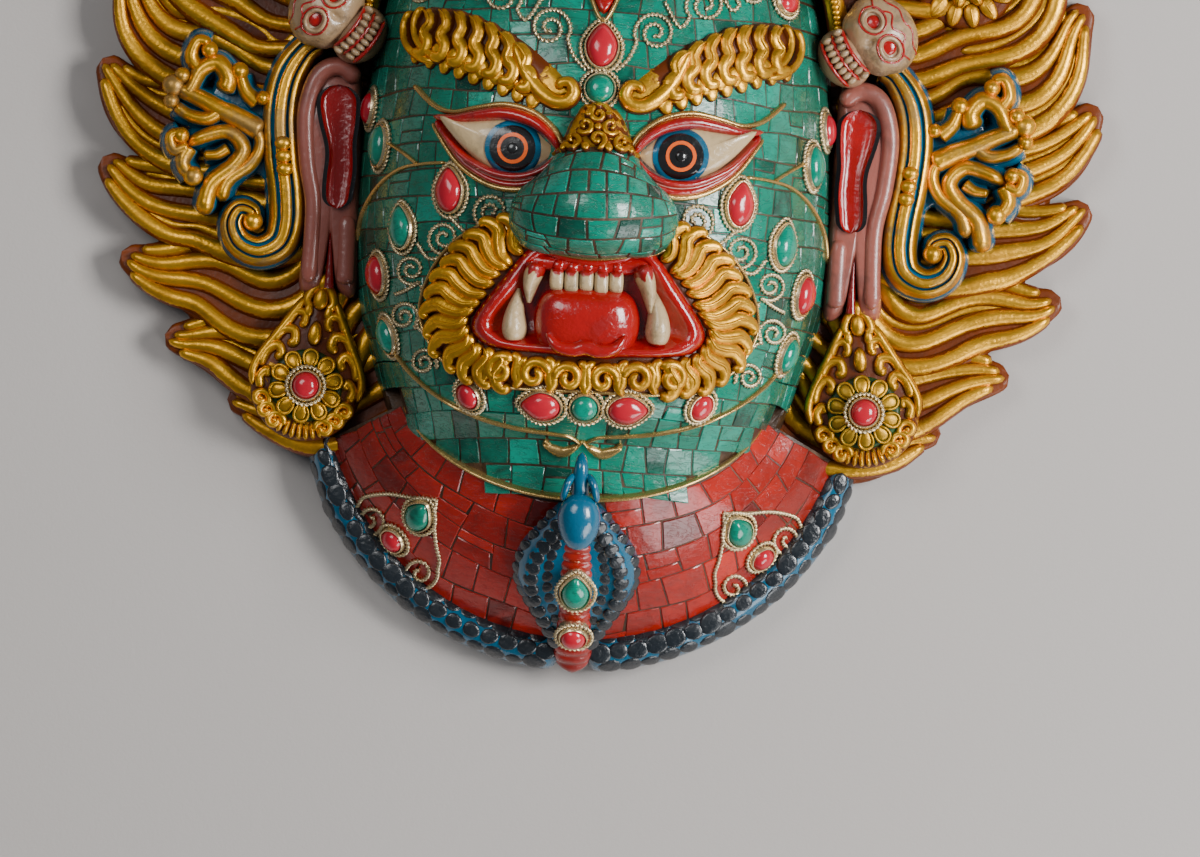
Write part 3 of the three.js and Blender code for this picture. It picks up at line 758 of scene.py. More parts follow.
def stone_veins():
    """Colour of one stone or chip: its own tone, cloudy patches and dark veins."""
    def build(w, source):
        scale = source["Scale"]
        drawn = w.add("ShaderNodeMapping", {"Vector": w.place(), "Rotation": (0.3, 0.2, 0.7),
                                            "Scale": (0.35, 1.7, 1.0)}).outputs[0]
        streak = w.noise(w.times(scale, 2.2), 6.0, 2.2, drawn)
        body = w.plus(w.times(source["Tone"], 0.62), w.times(w.noise(scale, 5.0, 1.4), 0.58))
        low = w.mix(w.span(body, 0.28, 0.58), source["Deep"], source["Main"])
        full = w.mix(w.span(body, 0.58, 0.98), low, source["Pale"])
        vein = w.span(w.math("ABSOLUTE", w.math("SUBTRACT", streak, 0.5)), 0.0, 0.035, 1.0, 0.0)
        strength = w.times(vein, source["Veins"])
        return [w.mix(strength, full, source["Deep"]), strength]
    inputs = {"Tone": 0.5, "Scale": 90.0, "Veins": 0.4, "Deep": GREY, "Main": GREY, "Pale": GREY}
    return node_group("stone_veins", "ShaderNodeTree", inputs, {"Color": "Color", "Vein": "Float"}, build)


def worn_leaf():
    """Gold leaf over a coloured ground: leaf on what stands proud, painted shade in a darker colour in the
    hollows.
    """
    def build(w, source):
        ragged = w.times(w.math("SUBTRACT", w.noise(420.0, 6.0, 0.8), 0.5), 0.42)
        rubbed = w.noise(95.0, 5.0, 0.5)
        rubbing = w.times(w.math("SUBTRACT", rubbed, 0.45), source["Wear"])
        level = w.math("SUBTRACT", w.plus(source["Relief"], ragged), rubbing)
        leaf = w.span(level, source["Edge"], w.plus(source["Edge"], 0.1))
        # Painted shade: where the relief is low the ground turns to the darker hollow shade colour.
        deep = w.span(w.plus(source["Relief"], w.times(rubbed, 0.35)), 0.12, 0.46)
        ground = w.mix(deep, source["Glaze"], source["Ground"])
        warm = w.mix(w.span(w.noise(60.0, 3.0), 0.35, 0.7), source["Gold"], source["Aged"])
        return [w.mix(leaf, ground, warm), leaf, w.times(leaf, 0.6)]
    inputs = {"Relief": 1.0, "Edge": 0.45, "Wear": 0.5, "Gold": GREY, "Aged": GREY, "Ground": GREY,
              "Glaze": GREY}
    return node_group("worn_leaf", "ShaderNodeTree", inputs, {"Color": "Color", "Leaf": "Float",
                                                              "Height": "Float"}, build)


def chips(deep, main, pale, stain_and_shade_colour, scale, veins):
    """Polished stone chips under varnish, with painted shade toward the sides of the mask."""
    def build(w):
        stone = w.stone(deep, main, pale, scale, veins)
        pools = w.pools(22.0, 0.35)
        across = w.add("ShaderNodeSeparateXYZ", {0: w.place()}).outputs[0]
        # Painted shade: the chips darken toward the sides of the mask, from 45 to 83 mm out from its
        # middle, where the surface turns away.
        painted_side_shade = w.span(w.math("ABSOLUTE", across), 0.045, 0.083)
        low_edge = w.span(w.attribute("relief"), 0.45, 0.8, 1.0, 0.0)
        # stain joins the varnish pools, the stained chip edges and this painted side shade.
        stain = w.math("MAXIMUM", w.times(pools, 0.38), w.times(painted_side_shade, 0.42))
        stain = w.math("MAXIMUM", stain, w.times(low_edge, 0.75))
        height = w.math("SUBTRACT", w.grain(420.0), w.times(stone["Vein"], 1.1))
        return {"Base Color": w.mix(stain, stone["Color"], stain_and_shade_colour),
                "Roughness": w.plus(0.2, w.times(pools, 0.18)), "Height": (height, 0.00016)}
    return build, {"Coat Weight": 0.35, "Coat Roughness": 0.09, "IOR": 1.45}


def cabochon(deep, main, pale, veins):
    """Polished stone of a single cabochon, with painted shade round its foot."""
    def build(w):
        stone = w.stone(deep, main, pale, 110.0, veins)
        grain = w.grain(260.0)
        # Painted shade: the stone darkens toward its low rim, where it meets the bezel.
        painted_rim_shade = w.span(w.attribute("relief"), 0.0, 0.3, 0.55, 0.0)
        return {"Base Color": w.mix(painted_rim_shade, stone["Color"], shaded(deep, 0.5)),
                "Roughness": w.plus(0.13, w.times(grain, 0.05)), "Height": (grain, 0.00012)}
    return build, {"Coat Weight": 0.4, "Coat Roughness": 0.06, "IOR": 1.52}


def leaf(ground, glaze, edge, wear, gold=1.0):
    """Gold leaf worn down to its ground, with painted shade in the hollows, stained where varnish has
    pooled.
    """
    def build(w):
        worn = w.group(worn_leaf(), Relief=w.attribute("relief"), Edge=edge, Wear=wear,
                       Gold=tone("gold", gold), Aged=tone("gold", gold * 0.72), Ground=ground, Glaze=glaze)
        pools = w.pools(48.0, 0.55)
        stroke = w.plus(0.27, w.times(w.noise(1500.0, 2.0, 0.4), 0.16))
        return {"Base Color": w.mix(w.times(pools, 0.42), worn["Color"], shaded(ground, 0.7)),
                "Metallic": w.times(worn["Leaf"], 0.86), "Roughness": w.plus(stroke, w.times(pools, 0.12)),
                "Height": (w.plus(w.times(w.grain(760.0), 0.7), worn["Height"]), 0.00022)}
    return build, {"Coat Weight": 0.05, "Coat Roughness": 0.2, "IOR": 1.35}


def wire(base, metallic, rough, dark):
    """Drawn metal wire, dark where varnish has gathered."""
    def build(w):
        pools = w.pools(140.0, 0.35)
        return {"Base Color": w.mix(w.times(pools, dark), base, shaded(base, 0.22)),
                "Roughness": w.plus(rough, w.times(pools, 0.2)), "Height": (w.grain(1400.0), 0.00008)}
    return build, {"Metallic": metallic, "Coat Weight": 0.1}


def paint(base, rough=0.28, coat=0.4, stain=0.5, stain_scale=34.0, hollow=0.6, bump=0.00018):
    """Brushed paint under varnish, with painted shade in its hollows, and darker where varnish has pooled.
    """
    def build(w):
        pools = w.pools(stain_scale)
        # Painted shade: where the relief is low, in hollows and on the flanks of ridges, the paint turns
        # toward a darker copy of itself; hollow sets how far. The mask joins this painted shade with the
        # varnish stains.
        low = w.span(w.attribute("relief"), 0.0, 0.55, hollow, 0.0)
        stain_and_hollow_shade = w.math("MAXIMUM", w.times(pools, stain), low)
        return {"Base Color": w.mix(stain_and_hollow_shade, base, shaded(base, 0.22)),
                "Roughness": w.plus(rough, w.times(pools, 0.16)), "Height": (w.grain(520.0), bump)}
    return build, {"Coat Weight": coat, "Coat Roughness": 0.1}


def cream(base, stain):
    """Cream paint, red where it lies low, with brown stains."""
    def build(w):
        pools = w.pools(90.0)
        low = w.span(w.attribute("relief"), 0.25, 0.62, 1.0, 0.0)
        aged = w.mix(w.times(pools, stain), base, shaded(base, 0.3))
        return {"Base Color": w.mix(low, aged, tone("red", 0.8)),
                "Roughness": w.plus(0.3, w.times(pools, 0.2)), "Height": (w.grain(600.0), 0.0003)}
    return build, {"Coat Weight": 0.35, "Coat Roughness": 0.12}


def grout():
    """Dark varnished filling between the chips, which also coats the back."""
    def build(w):
        pools = w.pools(60.0, 0.6)
        return {"Base Color": w.mix(pools, tone("grout"), tone("grout", 2.4)),
                "Roughness": w.plus(0.42, w.times(pools, 0.2)), "Height": (w.grain(700.0), 0.00035)}
    return build, {}


def board():
    """Plain backdrop board."""
    def build(w):
        cloud = w.span(w.noise(3.0, 2.0), 0.3, 0.7)
        return {"Base Color": w.mix(cloud, tone("floor"), tone("floor", 0.97)),
                "Height": (w.grain(900.0), 0.00006)}
    return build, {"Roughness": 0.85}


FINISHES = {
    "turquoise_chips": lambda: chips(tone("turquoise_deep"), tone("turquoise"), tone("turquoise_pale"),
                                     (0.022, 0.035, 0.016, 1), 75.0, 0.45),
    "coral_chips": lambda: chips(tone("coral_chip", 0.35), tone("coral_chip"), tone("coral_chip", 1.7),
                                 (0.05, 0.014, 0.008, 1), 80.0, 0.25),
    "polished_coral": lambda: cabochon(tone("coral", 0.55), tone("coral"), tone("coral", 1.5), 0.08),
    "polished_turquoise": lambda: cabochon(tone("turquoise_deep"), tone("turquoise", 1.15),
                                           tone("turquoise_pale", 1.1), 0.55),
    "varnished_grout": grout,
    # The second colour of each leaf is its painted hollow shade; for the flames and the scrolls it is a
    # darker copy of their own ground.
    "flame_leaf": lambda: leaf(tone("bole", 0.85), tone("bole", 0.22), 0.58, 0.55),
    "carved_leaf": lambda: leaf(tone("bole", 0.55), tone("shade_umber"), 0.5, 0.55, 1.05),
    "scroll_leaf": lambda: leaf(tone("blue"), tone("blue", 0.45), 0.48, 0.45),
    "petal_leaf": lambda: leaf((0.006, 0.09, 0.02, 1), (0.02, 0.028, 0.006, 1), 0.46, 0.6),
    "filigree_wire": lambda: wire(tone("wire"), 0.8, 0.3, 0.6),
    "gilt_wire": lambda: wire(tone("brass"), 0.85, 0.26, 0.7),
    "silver_bezel": lambda: wire(tone("wire", 1.15), 0.85, 0.24, 0.5),
    "red_gloss": lambda: paint(tone("red"), 0.16, 0.8, stain=0.3, bump=0.0003),
    "belly_red": lambda: paint(tone("coral_chip", 0.9), 0.24, 0.5),
    "lid_line": lambda: paint((0.5, 0.2, 0.15, 1)),
    "ear_skin": lambda: paint(tone("skin"), 0.32, 0.35, stain=0.45),
    "blue_paint": lambda: paint(tone("blue"), 0.22, 0.6, stain=0.35),
    "black_paint": lambda: paint(tone("black"), 0.16, 0.8, stain=0.0, hollow=0.0),
    "scale_paint": lambda: paint((0.01, 0.014, 0.018, 1), 0.26, 0.5, stain=0.0, hollow=0.0, bump=0.0004),
    "orange_paint": lambda: paint(tone("orange"), 0.2, 0.6, stain=0.2, hollow=0.0),
    "eye_white": lambda: paint(tone("bone", 1.05), 0.2, 0.6, stain=0.35, stain_scale=60.0, hollow=0.5),
    "bone_paint": lambda: cream(tone("bone"), 0.6),
    "skull_bone": lambda: cream((0.36, 0.235, 0.125, 1), 0.7),
    "backdrop": board,
}


def material(name):
    """The material of that name, built once from its row of finishes."""
    found = bpy.data.materials.get(name)
    if found:
        return found
    build, plain = FINISHES[name]()
    made = bpy.data.materials.new(name)
    made.use_nodes = True
    w = Wiring(made.node_tree)
    varied = build(w)
    height, distance = varied.pop("Height")
    varied["Normal"] = w.add("ShaderNodeBump", {"Height": height, "Distance": distance,
                                                "Strength": 1.0}).outputs[0]
    shader = made.node_tree.nodes["Principled BSDF"]
    for key, value in {**plain, **varied}.items():
        w.feed(shader.inputs[key], value)
    return made


# ---- Geometry Nodes ----
def realized(w, geometry, finish):
    """Last steps of a geometry group: one real mesh with its finish."""
    whole = w.add("GeometryNodeRealizeInstances", {"Geometry": geometry}).outputs[0]
    return [w.add("GeometryNodeSetMaterial", {"Geometry": whole, "Material": finish}).outputs[0]]


def twisted_wire_tree():
    """Two-strand twisted wire along the edges of a mesh."""
    def build(w, source):
        path = w.add("GeometryNodeMeshToCurve", {"Mesh": source["Path"]}).outputs[0]
        fine = w.add("GeometryNodeResampleCurve", {"Curve": path, "Length": source["Step"]},
                     mode="LENGTH").outputs[0]
        turns = w.math("DIVIDE", w.add("GeometryNodeSplineParameter").outputs["Length"], source["Turn"])
        tilted = w.add("GeometryNodeSetCurveTilt", {"Curve": fine, "Tilt": w.times(turns, TAU)}).outputs[0]
        circle = w.add("GeometryNodeCurvePrimitiveCircle", {"Resolution": 8,
                                                            "Radius": source["Radius"]}).outputs[0]
        strands = w.add("GeometryNodeTransform", {"Geometry": circle, "Scale": (1.0, 0.46, 1.0)}).outputs[0]
        shape = {"Curve": tilted, "Profile Curve": strands, "Fill Caps": True}
        drawn = w.add("GeometryNodeCurveToMesh", shape).outputs[0]
        smooth = w.add("GeometryNodeSetShadeSmooth", {"Geometry": drawn}).outputs[0]
        return realized(w, smooth, source["Finish"])
    inputs = {"Path": "Geometry", "Radius": 0.8 * MM, "Step": 0.3 * MM, "Turn": 3.1 * MM,
              "Finish": "Material"}
    return node_group("twisted_wire", "GeometryNodeTree", inputs, {"Wire": "Geometry"}, build)


def studs_tree():
    """Copies of one shape set on points, each facing along its own directions."""
    def build(w, source):
        shape = w.add("GeometryNodeObjectInfo", {"Object": source["Shape"]}).outputs["Geometry"]
        out, ahead, size = [
            w.add("GeometryNodeInputNamedAttribute", {"Name": name}, data_type="FLOAT_VECTOR").outputs[0]
            for name in ("out", "ahead", "size")
        ]
        turn = w.add("FunctionNodeAxesToRotation", {"Primary Axis": out, "Secondary Axis": ahead},
                     primary_axis="Z", secondary_axis="Y").outputs[0]
        spots = {"Points": source["Points"], "Instance": shape, "Rotation": turn, "Scale": size}
        return realized(w, w.add("GeometryNodeInstanceOnPoints", spots).outputs[0], source["Finish"])
    inputs = {"Points": "Geometry", "Shape": "Object", "Finish": "Material"}
    return node_group("set_studs", "GeometryNodeTree", inputs, {"Studs": "Geometry"}, build)


def linked(name, mesh):
    """A new object in the scene."""
    thing = bpy.data.objects.new(name, mesh)
    bpy.context.scene.collection.objects.link(thing)
    return thing


def bake(name, base, tree, values, slot):
    """Runs a geometry group on a base mesh and keeps the result as a plain piece."""
    holder = linked(name + "_source", base)
    modifier = holder.modifiers.new("shape", "NODES")
    modifier.node_group = tree
    for item in tree.interface.items_tree:
        if item.in_out == "INPUT" and item.name in values:
            modifier[item.identifier] = values[item.name]
    bpy.context.view_layer.update()
    mesh = bpy.data.meshes.new_from_object(holder.evaluated_get(bpy.context.evaluated_depsgraph_get()))
    mesh.name = name
    holder.modifiers.remove(modifier)
    bpy.data.objects.remove(holder)
    return settle(linked(name, mesh), slot)


def twisted_wires(name, paths):
    """One piece of twisted wire along every path; a closed path repeats its first point."""
    points = []
    edges = []
    for path in paths:
        start = len(points)
        points.extend(in_frame(path))
        edges.extend([(k, k + 1) for k in range(start, len(points) - 1)])
    base = bpy.data.meshes.new(name + "_path")
    base.from_pydata(points, edges, [])
    values = {"Radius": sizes().wire, "Step": 0.3 * MM, "Turn": sizes().twist,
              "Finish": material("filigree_wire")}
    piece = bake(name, base, twisted_wire_tree(), values, "setting_wire")
    write_values(piece.data, "relief", np.ones(len(piece.data.vertices)))


def studs(name, spots, shape, finish, slot):
    """One piece of studs: copies of a shape at spots of place, way out, way ahead and scale."""
    stamp = bpy.data.meshes.new(name + "_stamp")
    stamp.from_pydata((np.vstack(shape.points) * MM).tolist(), [], shape.faces)
    write_values(stamp, "relief", np.concatenate(shape.reliefs))
    stamp.shade_smooth()
    pattern = linked(name + "_pattern", stamp)
    places, *ways = zip(*spots)
    base = bpy.data.meshes.new(name + "_points")
    base.from_pydata(in_frame(places), [], [])
    for label, values in zip(("out", "ahead", "size"), ways):
        layer = base.attributes.new(label, "FLOAT_VECTOR", "POINT")
        layer.data.foreach_set("vector", np.asarray(values, np.float32).ravel())
    bake(name, base, studs_tree(), {"Shape": pattern, "Finish": material(finish)}, slot)
    bpy.data.objects.remove(pattern)


def oval(length, width, count=12, egg=0.0):
    """Outline of an oval, its wide end turned by egg."""
    angle = np.linspace(0, TAU, count, endpoint=False)
    return np.stack([width / 2 * np.cos(angle) * (1 + egg * np.sin(angle)), length / 2 * np.sin(angle)],
                    axis=1)


# ---- The casting: shell, halo plate and collar base ----
def carved(skin):
    """The head's skin sunk below the collar and below the open mouth."""
    angle, t = collar_share(skin[:, 0], skin[:, 1])
    under = collar_surface(angle, np.clip(t, 0, 1))[:, 2] - 1.6
    below = (t > 0) & (skin[:, 1] < COLLAR["v"])
    skin[:, 2] = np.where(below, np.clip(under, 0, skin[:, 2]), skin[:, 2])
    for point in skin:
        if inside_outline(point[0] / 0.94, (point[1] + 33) / 0.94 - 33, LIP_OUTLINE):
            point[2] = MOUTH_WALL
    return skin


def head_shell(form):
    """The head's wall: grouted outside, hollow behind."""
    foot, top = HEAD_WIDTH[0][0], HEAD_WIDTH[-1][0]
    stations = [foot, HOLLOW_FOOT - 0.02, *np.linspace(HOLLOW_FOOT, HOLLOW_TOP, 46), HOLLOW_TOP + 0.02, top]
    outer = np.linspace(0, math.pi, 73)
    rings = []
    for v in stations:
        skin = carved(head_surface(outer, v))
        lining = head_surface(outer[::-1], np.clip(v, HOLLOW_FOOT, HOLLOW_TOP), WALL)
        if not HOLLOW_FOOT <= v <= HOLLOW_TOP:
            lining = lining * [1, 0, 0] + [0, v, 0]
        rings.append(np.vstack([skin, lining]))
    form.tube(rings)


def lining_reach(angle):
    """Distance from the halo's centre to the edge of the hollow, along that angle."""
    r = np.linspace(1, 160, 640)
    x = r * math.cos(angle)
    v = HALO["v"] + r * math.sin(angle)
    outside = (np.abs(x) > along(HEAD_WIDTH, v) - WALL) | (v > HOLLOW_TOP) | (v < HOLLOW_FOOT)
    return r[np.argmax(outside)]


def halo_plate(form):
    """The plate that the flames stand on, open behind the head."""
    low = math.asin((HALO["cut"] - HALO["v"]) / HALO["radius"])
    far = HALO["radius"] - 2
    thick = HALO["thickness"]
    rings = []
    for angle in np.linspace(low, math.pi - low, 121):
        near = lining_reach(angle)
        x, v = toward(angle)
        profile = [(near, 0), (near, thick), (far - 2, thick), (far, thick - 3), (far, 0)]
        rings.append([(r * x, HALO["v"] + r * v, z) for r, z in profile])
    form.tube(rings, relief=0.1)


def collar_base(form):
    """The collar's wall below its chips, hollow behind."""
    rings = []
    for degree in np.linspace(COLLAR["from"], COLLAR["to"], 61):
        angle = math.radians(degree)
        t = np.linspace(0, 1, 13)
        top = collar_surface(np.full(13, angle), t)
        under_t = np.linspace(0.88, 0, 12)
        under = collar_surface(np.full(12, angle), under_t) - [0, 0, WALL]
        near_end = min(degree - COLLAR["from"], COLLAR["to"] - degree) < 4
        under[:, 2] = 0 if near_end else np.maximum(under[:, 2], 0)
        rim = collar_surface(np.array([angle]), np.array([1])) * [1, 1, 0]
        inner = collar_surface(np.array([angle]), np.array([0.88])) * [1, 1, 0]
        rings.append(np.vstack([top, rim, inner, under]))
    form.tube(rings)


class GUARDIAN_OT_casting(Operator):
    """Build the casting's walls: head shell, halo plate and collar base"""

    bl_idname = "guardian.casting"
    bl_label = "Casting"

    def execute(self, context):
        wall = Form()
        head_shell(wall)
        collar_base(wall)
        wall.finish("casting_wall", ["varnished_grout"], "gilt_casting", ["mask_casting"], smooth=40)
        plate = Form()
        halo_plate(plate)
        plate.finish("halo_plate", ["flame_leaf"], "gold_leaf")
        return {"FINISHED"}


# ---- Face mosaic ----
BEARD_OUTLINE = [(27, -4.5), (36, -6), (45, -11.5), (53, -21.5), (57, -35), (54, -46), (46, -55), (30, -61),
                 (0, -61.5)]


def covered(x, v):
    """Whether the head's surface is hidden there by the mouth, beard, an eye or the nose."""
    if inside_outline(abs(x), v, [(0, -9), (27, -9), (36, -10), (49, -22), (52.5, -35), (50, -45),
                                  (43, -51), (29, -56.5), (0, -57)]):
        return True
    if inside_outline(abs(x), v, [(13.5, 20), (22, 28), (33, 30.5), (52, 28), (43, 18), (32, 13.5),
                                  (22, 14.5)]):
        return True
    _, t = collar_share(np.array([x]), np.array([v]))
    if t[0] > 0.005 and v < COLLAR["v"]:
        return True
    return (x / 19) ** 2 + ((v - 1) / 13) ** 2 < 1


def face_lines():
    """Row edges of the face's chips, from the neck to the crown."""
    return np.arange(-98.6, 114, sizes().chip / MM * 1.02)


class GUARDIAN_OT_face(Operator):
    """Lay the turquoise mosaic of the head and the nose"""

    bl_idname = "guardian.face"
    bl_label = "Face mosaic"

    def execute(self, context):
        chips = Form()
        size = sizes().chip / MM
        gap = sizes().grout / MM
        normal = surface_normal(head_surface, -0.01, 0.5)
        mosaic(chips, head_surface, normal, face_lines(), (math.pi - 0.12, 0.12), size, gap, sizes().seed,
               lambda p: not covered(p[0], p[1]), bend=lambda l: -0.00045 * l * l, inner=(0.5,))
        chips.finish("face_mosaic", ["turquoise_chips"], "mosaic", smooth=32)
        core = Form()
        core.patch(nose_sheet(78, 12, 172, 41))
        core.finish("nose_core", ["varnished_grout"], "gilt_casting")
        nose = Form()
        nose_normal = surface_normal(nose_surface, 0.02, 0.02)
        lines = np.radians(np.linspace(22, 160, 10))
        mosaic(nose, nose_surface, nose_normal, lines, np.radians([-76, 76]), 8.6, 0.9, sizes().seed + 4,
               lambda p: p[2] > 64 and p[1] < 24 - p[0] ** 2 / 60, lift=0.26, inner=(0.3, 0.5, 0.7))
        nose.finish("nose_mosaic", ["turquoise_chips"], "mosaic", smooth=32)
        return {"FINISHED"}


# ---- Collar, snake border and cobra ----
class GUARDIAN_OT_collar(Operator):
    """Lay the coral mosaic of the collar"""

    bl_idname = "guardian.collar"
    bl_label = "Collar mosaic"

    def execute(self, context):
        chips = Form()
        lines = np.linspace(0.02, 1, 6)
        ends = (math.radians(COLLAR["from"] + 0.6), math.radians(COLLAR["to"] - 0.6))

        def visible(p):
            return abs(p[0]) > 9 or p[1] > -104

        mosaic(chips, collar_surface, collar_normal, lines, ends, sizes().collar_chip / MM,
               sizes().grout / MM, sizes().seed + 9, visible, inner=(0.33, 0.67))
        chips.finish("collar_mosaic", ["coral_chips"], "coral_mosaic", smooth=32)
        return {"FINISHED"}


def down_the_middle(t, lift):
    """Points down the middle of the cobra, and outward directions."""
    t = np.asarray(t, float)
    angle = np.full(t.shape, math.radians(270))
    out = collar_normal(angle, np.clip(t, 0.02, 0.98))
    return collar_surface(angle, t) + out * np.reshape(lift, (-1, 1)), out


def cobra_body(form, spots):
    """Hood, head and snout, with the hood's scales added to the spots."""
    t = np.linspace(0.02, 0.93, 40)
    route = down_the_middle(t, 1.5)
    hood = [(0, 7), (0.15, 13), (0.34, 20), (0.52, 21.5), (0.72, 16.5), (0.88, 10.5), (1, 6)]

    def lift(s, q):
        rim = 2.2 * np.exp(-((np.abs(q) - 0.8) / 0.16) ** 2)
        return (7.5 - 3 * s) * np.clip(1 - np.abs(q) ** 3, 0, 1) ** 0.6 + rim

    ribbon(form, route, lambda s: along(hood, s), lift, sink=4, across=25)
    ahead = headings(route[0])
    for k in range(3, 38, 3):
        s = k / 39
        half = float(along(hood, s))
        for row, q in enumerate((0.5, 0.74, 0.95)):
            if half * (q - 0.38) < 1.5:
                continue
            for side in (-1, 1):
                j = min(k + (1 if row % 2 else 0), 39)
                across = unit(np.cross(ahead[j], route[1][j]))
                out = unit(route[1][j] + across * side * (0.15 + 0.75 * max(q - 0.7, 0) * 3))
                spot = route[0][j] + across * side * half * q + route[1][j] * float(lift(s, np.array(q)))
                spots.append((spot - out * 0.35, out, ahead[j], (0.82, 0.72, 0.8)))
    neck, out = down_the_middle(np.array([0.02]), 14)
    head_turn = basis((0, -0.35, 1), (0, 1, 0.5))
    ball(form, neck[0] + [0, 2, 0], (7.6, 12.5, 7), turn=head_turn, rings=14, spokes=22,
         shape=lambda d: 1 - 0.34 * np.clip(d[:, 1], 0, 1) ** 1.3)
    snout = spline([(0, -101, 66), (0, -93, 71), (0, -87, 72), (0, -83.5, 70)], 14)
    ridge(form, (snout, np.tile([0, -0.2, 1], (14, 1))), lambda s: 3.6 - 1.7 * s, lambda s: 3.4 - 1.2 * s,
          sink=2, sides=10, end=0.35)
    for side in (-1, 1):
        brow = spline([(side * 2.2, -91, 72), (side * 4.6, -95, 74.2), (side * 6.2, -101, 71)], 12)
        ridge(form, (brow, np.tile([0, -0.2, 1], (12, 1))), 1.3, 1.5, sink=2, start=0.3, end=0.3)


def cobra_belly(form):
    """Ridged throat and tail in the middle of the cobra."""
    t = np.linspace(0.1, 1.062, 120)
    route = down_the_middle(t, np.full(120, 4.4))
    half = [(0, 5.2), (0.3, 6.8), (0.6, 6.2), (0.85, 7), (1, 5.4)]

    def folds(s):
        return np.abs(np.sin(s * math.pi * 17))

    ribbon(form, route, lambda s: along(half, s) * rounding(120, 0.03, 0.05),
           lambda s, q: (5.2 - 1.6 * s) * round_back(q) + 0.55 * folds(s), sink=5, across=13,
           marks=lambda s, q: 0.25 + 0.75 * folds(s) + 0 * q)


class GUARDIAN_OT_snakes(Operator):
    """Build the snake border of the collar and the cobra in its middle"""

    bl_idname = "guardian.snakes"
    bl_label = "Snakes"

    def execute(self, context):
        rng = random.Random(sizes().seed + 31)
        body = Form()
        spots = []
        radius = COLLAR["edge"] - COLLAR["border"]
        for side in (-1, 1):
            degrees = np.linspace(COLLAR["from"] - 0.5, 267.5, 72)
            angle = np.radians(degrees if side < 0 else 540 - degrees)
            path = np.stack([radius * np.cos(angle), COLLAR["v"] + radius * np.sin(angle)], axis=1)
            route = on_level(path, 6)
            half = COLLAR["border"]
            ridge(body, route, lambda s: half * (0.7 + 0.3 * np.clip(s * 5, 0, 1)), 11, sink=6, sides=16,
                  start=0.04, end=0.04)
            ahead = headings(route[0])
            for row, turn in enumerate((-50, -8, 33, 70)):
                tilt = math.radians(turn)
                for k in range(2 + 2 * (row % 2), 70, 4):
                    narrow = 0.7 + 0.3 * min(k / 14, 1)
                    wobble = rng.uniform(-0.1, 0.1)
                    across = np.cross(ahead[k], [0, 0, 1]) * side
                    out = unit(across * math.sin(tilt + wobble) * 1.1
                               + np.array([0, 0, math.cos(tilt + wobble)]))
                    spot = (route[0][k] + across * half * narrow * math.sin(tilt + wobble)
                            + np.array([0, 0, 11.0 * math.cos(tilt + wobble)]))
                    way = unit(ahead[k] + across * rng.uniform(-0.35, 0.35))
                    size = rng.uniform(0.78, 1.08)
                    spots.append((spot - out * 0.25, out, way, (size * narrow, size, 1)))
        cobra_body(body, spots)
        body.finish("snake_bodies", ["blue_paint"], "blue_paint")
        scale = Form()
        dome(scale, (0, 0, 0), np.eye(3), oval(8.4, 6.8, egg=-0.12), 0.7, sink=0.8, steps=4, round_off=0.7)
        studs("snake_scales", spots, scale, "scale_paint", "blue_paint")
        belly = Form()
        cobra_belly(belly)
        belly.finish("cobra_belly", ["belly_red"], "red_paint")
        details = Form()
        for side in (-1, 1):
            ball(details, (side * 4.2, -96, 72.5), (1.5, 1.7, 1.3), rings=8, spokes=12)
        details.finish("cobra_eyes", ["black_paint"], "blue_paint")
        return {"FINISHED"}


# ---- Flames ----
def lock_path(k, side, count):
    """Route of flame lock k, from its root to its tip, as (x, v) points."""
    angle = math.radians(LOCK["from"] + LOCK["step"] * k + LOCK["gain"] * k * k)
    reach = HALO["tip"] + HALO["top_rise"] * max(0, math.sin(angle)) ** 3 - 9 * max(0, 1 - k / 1.5) - 1.2
    lean = 0 if k == LOCKS else 1

    start = toward(angle - math.radians(10 * lean), LOCK["root"]) + [0, HALO["v"]]
    tip = toward(angle, reach) + [0, HALO["v"]]
    first = start + toward(angle - math.radians(38 * lean), 30)
    second = tip - toward(angle + math.radians(48 * lean), 28)
    s = np.linspace(0, 1, 90)[:, None]
    fine = (1 - s) ** 3 * start + 3 * s * (1 - s) ** 2 * first + 3 * s * s * (1 - s) * second + s ** 3 * tip
    length = np.concatenate([[0], np.cumsum(np.linalg.norm(np.diff(fine, axis=0), axis=1))])
    even = np.linspace(0, length[-1], count)
    points = np.stack([np.interp(even, length, fine[:, c]) for c in (0, 1)], axis=1)
    return points * [side, 1]


def lock_half(s):
    """Half width of a lock along its length."""
    return LOCK["tip"] + (LOCK["half"] - LOCK["tip"]) * (1 - s ** 3.4) * (0.72 + 0.28 * np.sin(math.pi * s))


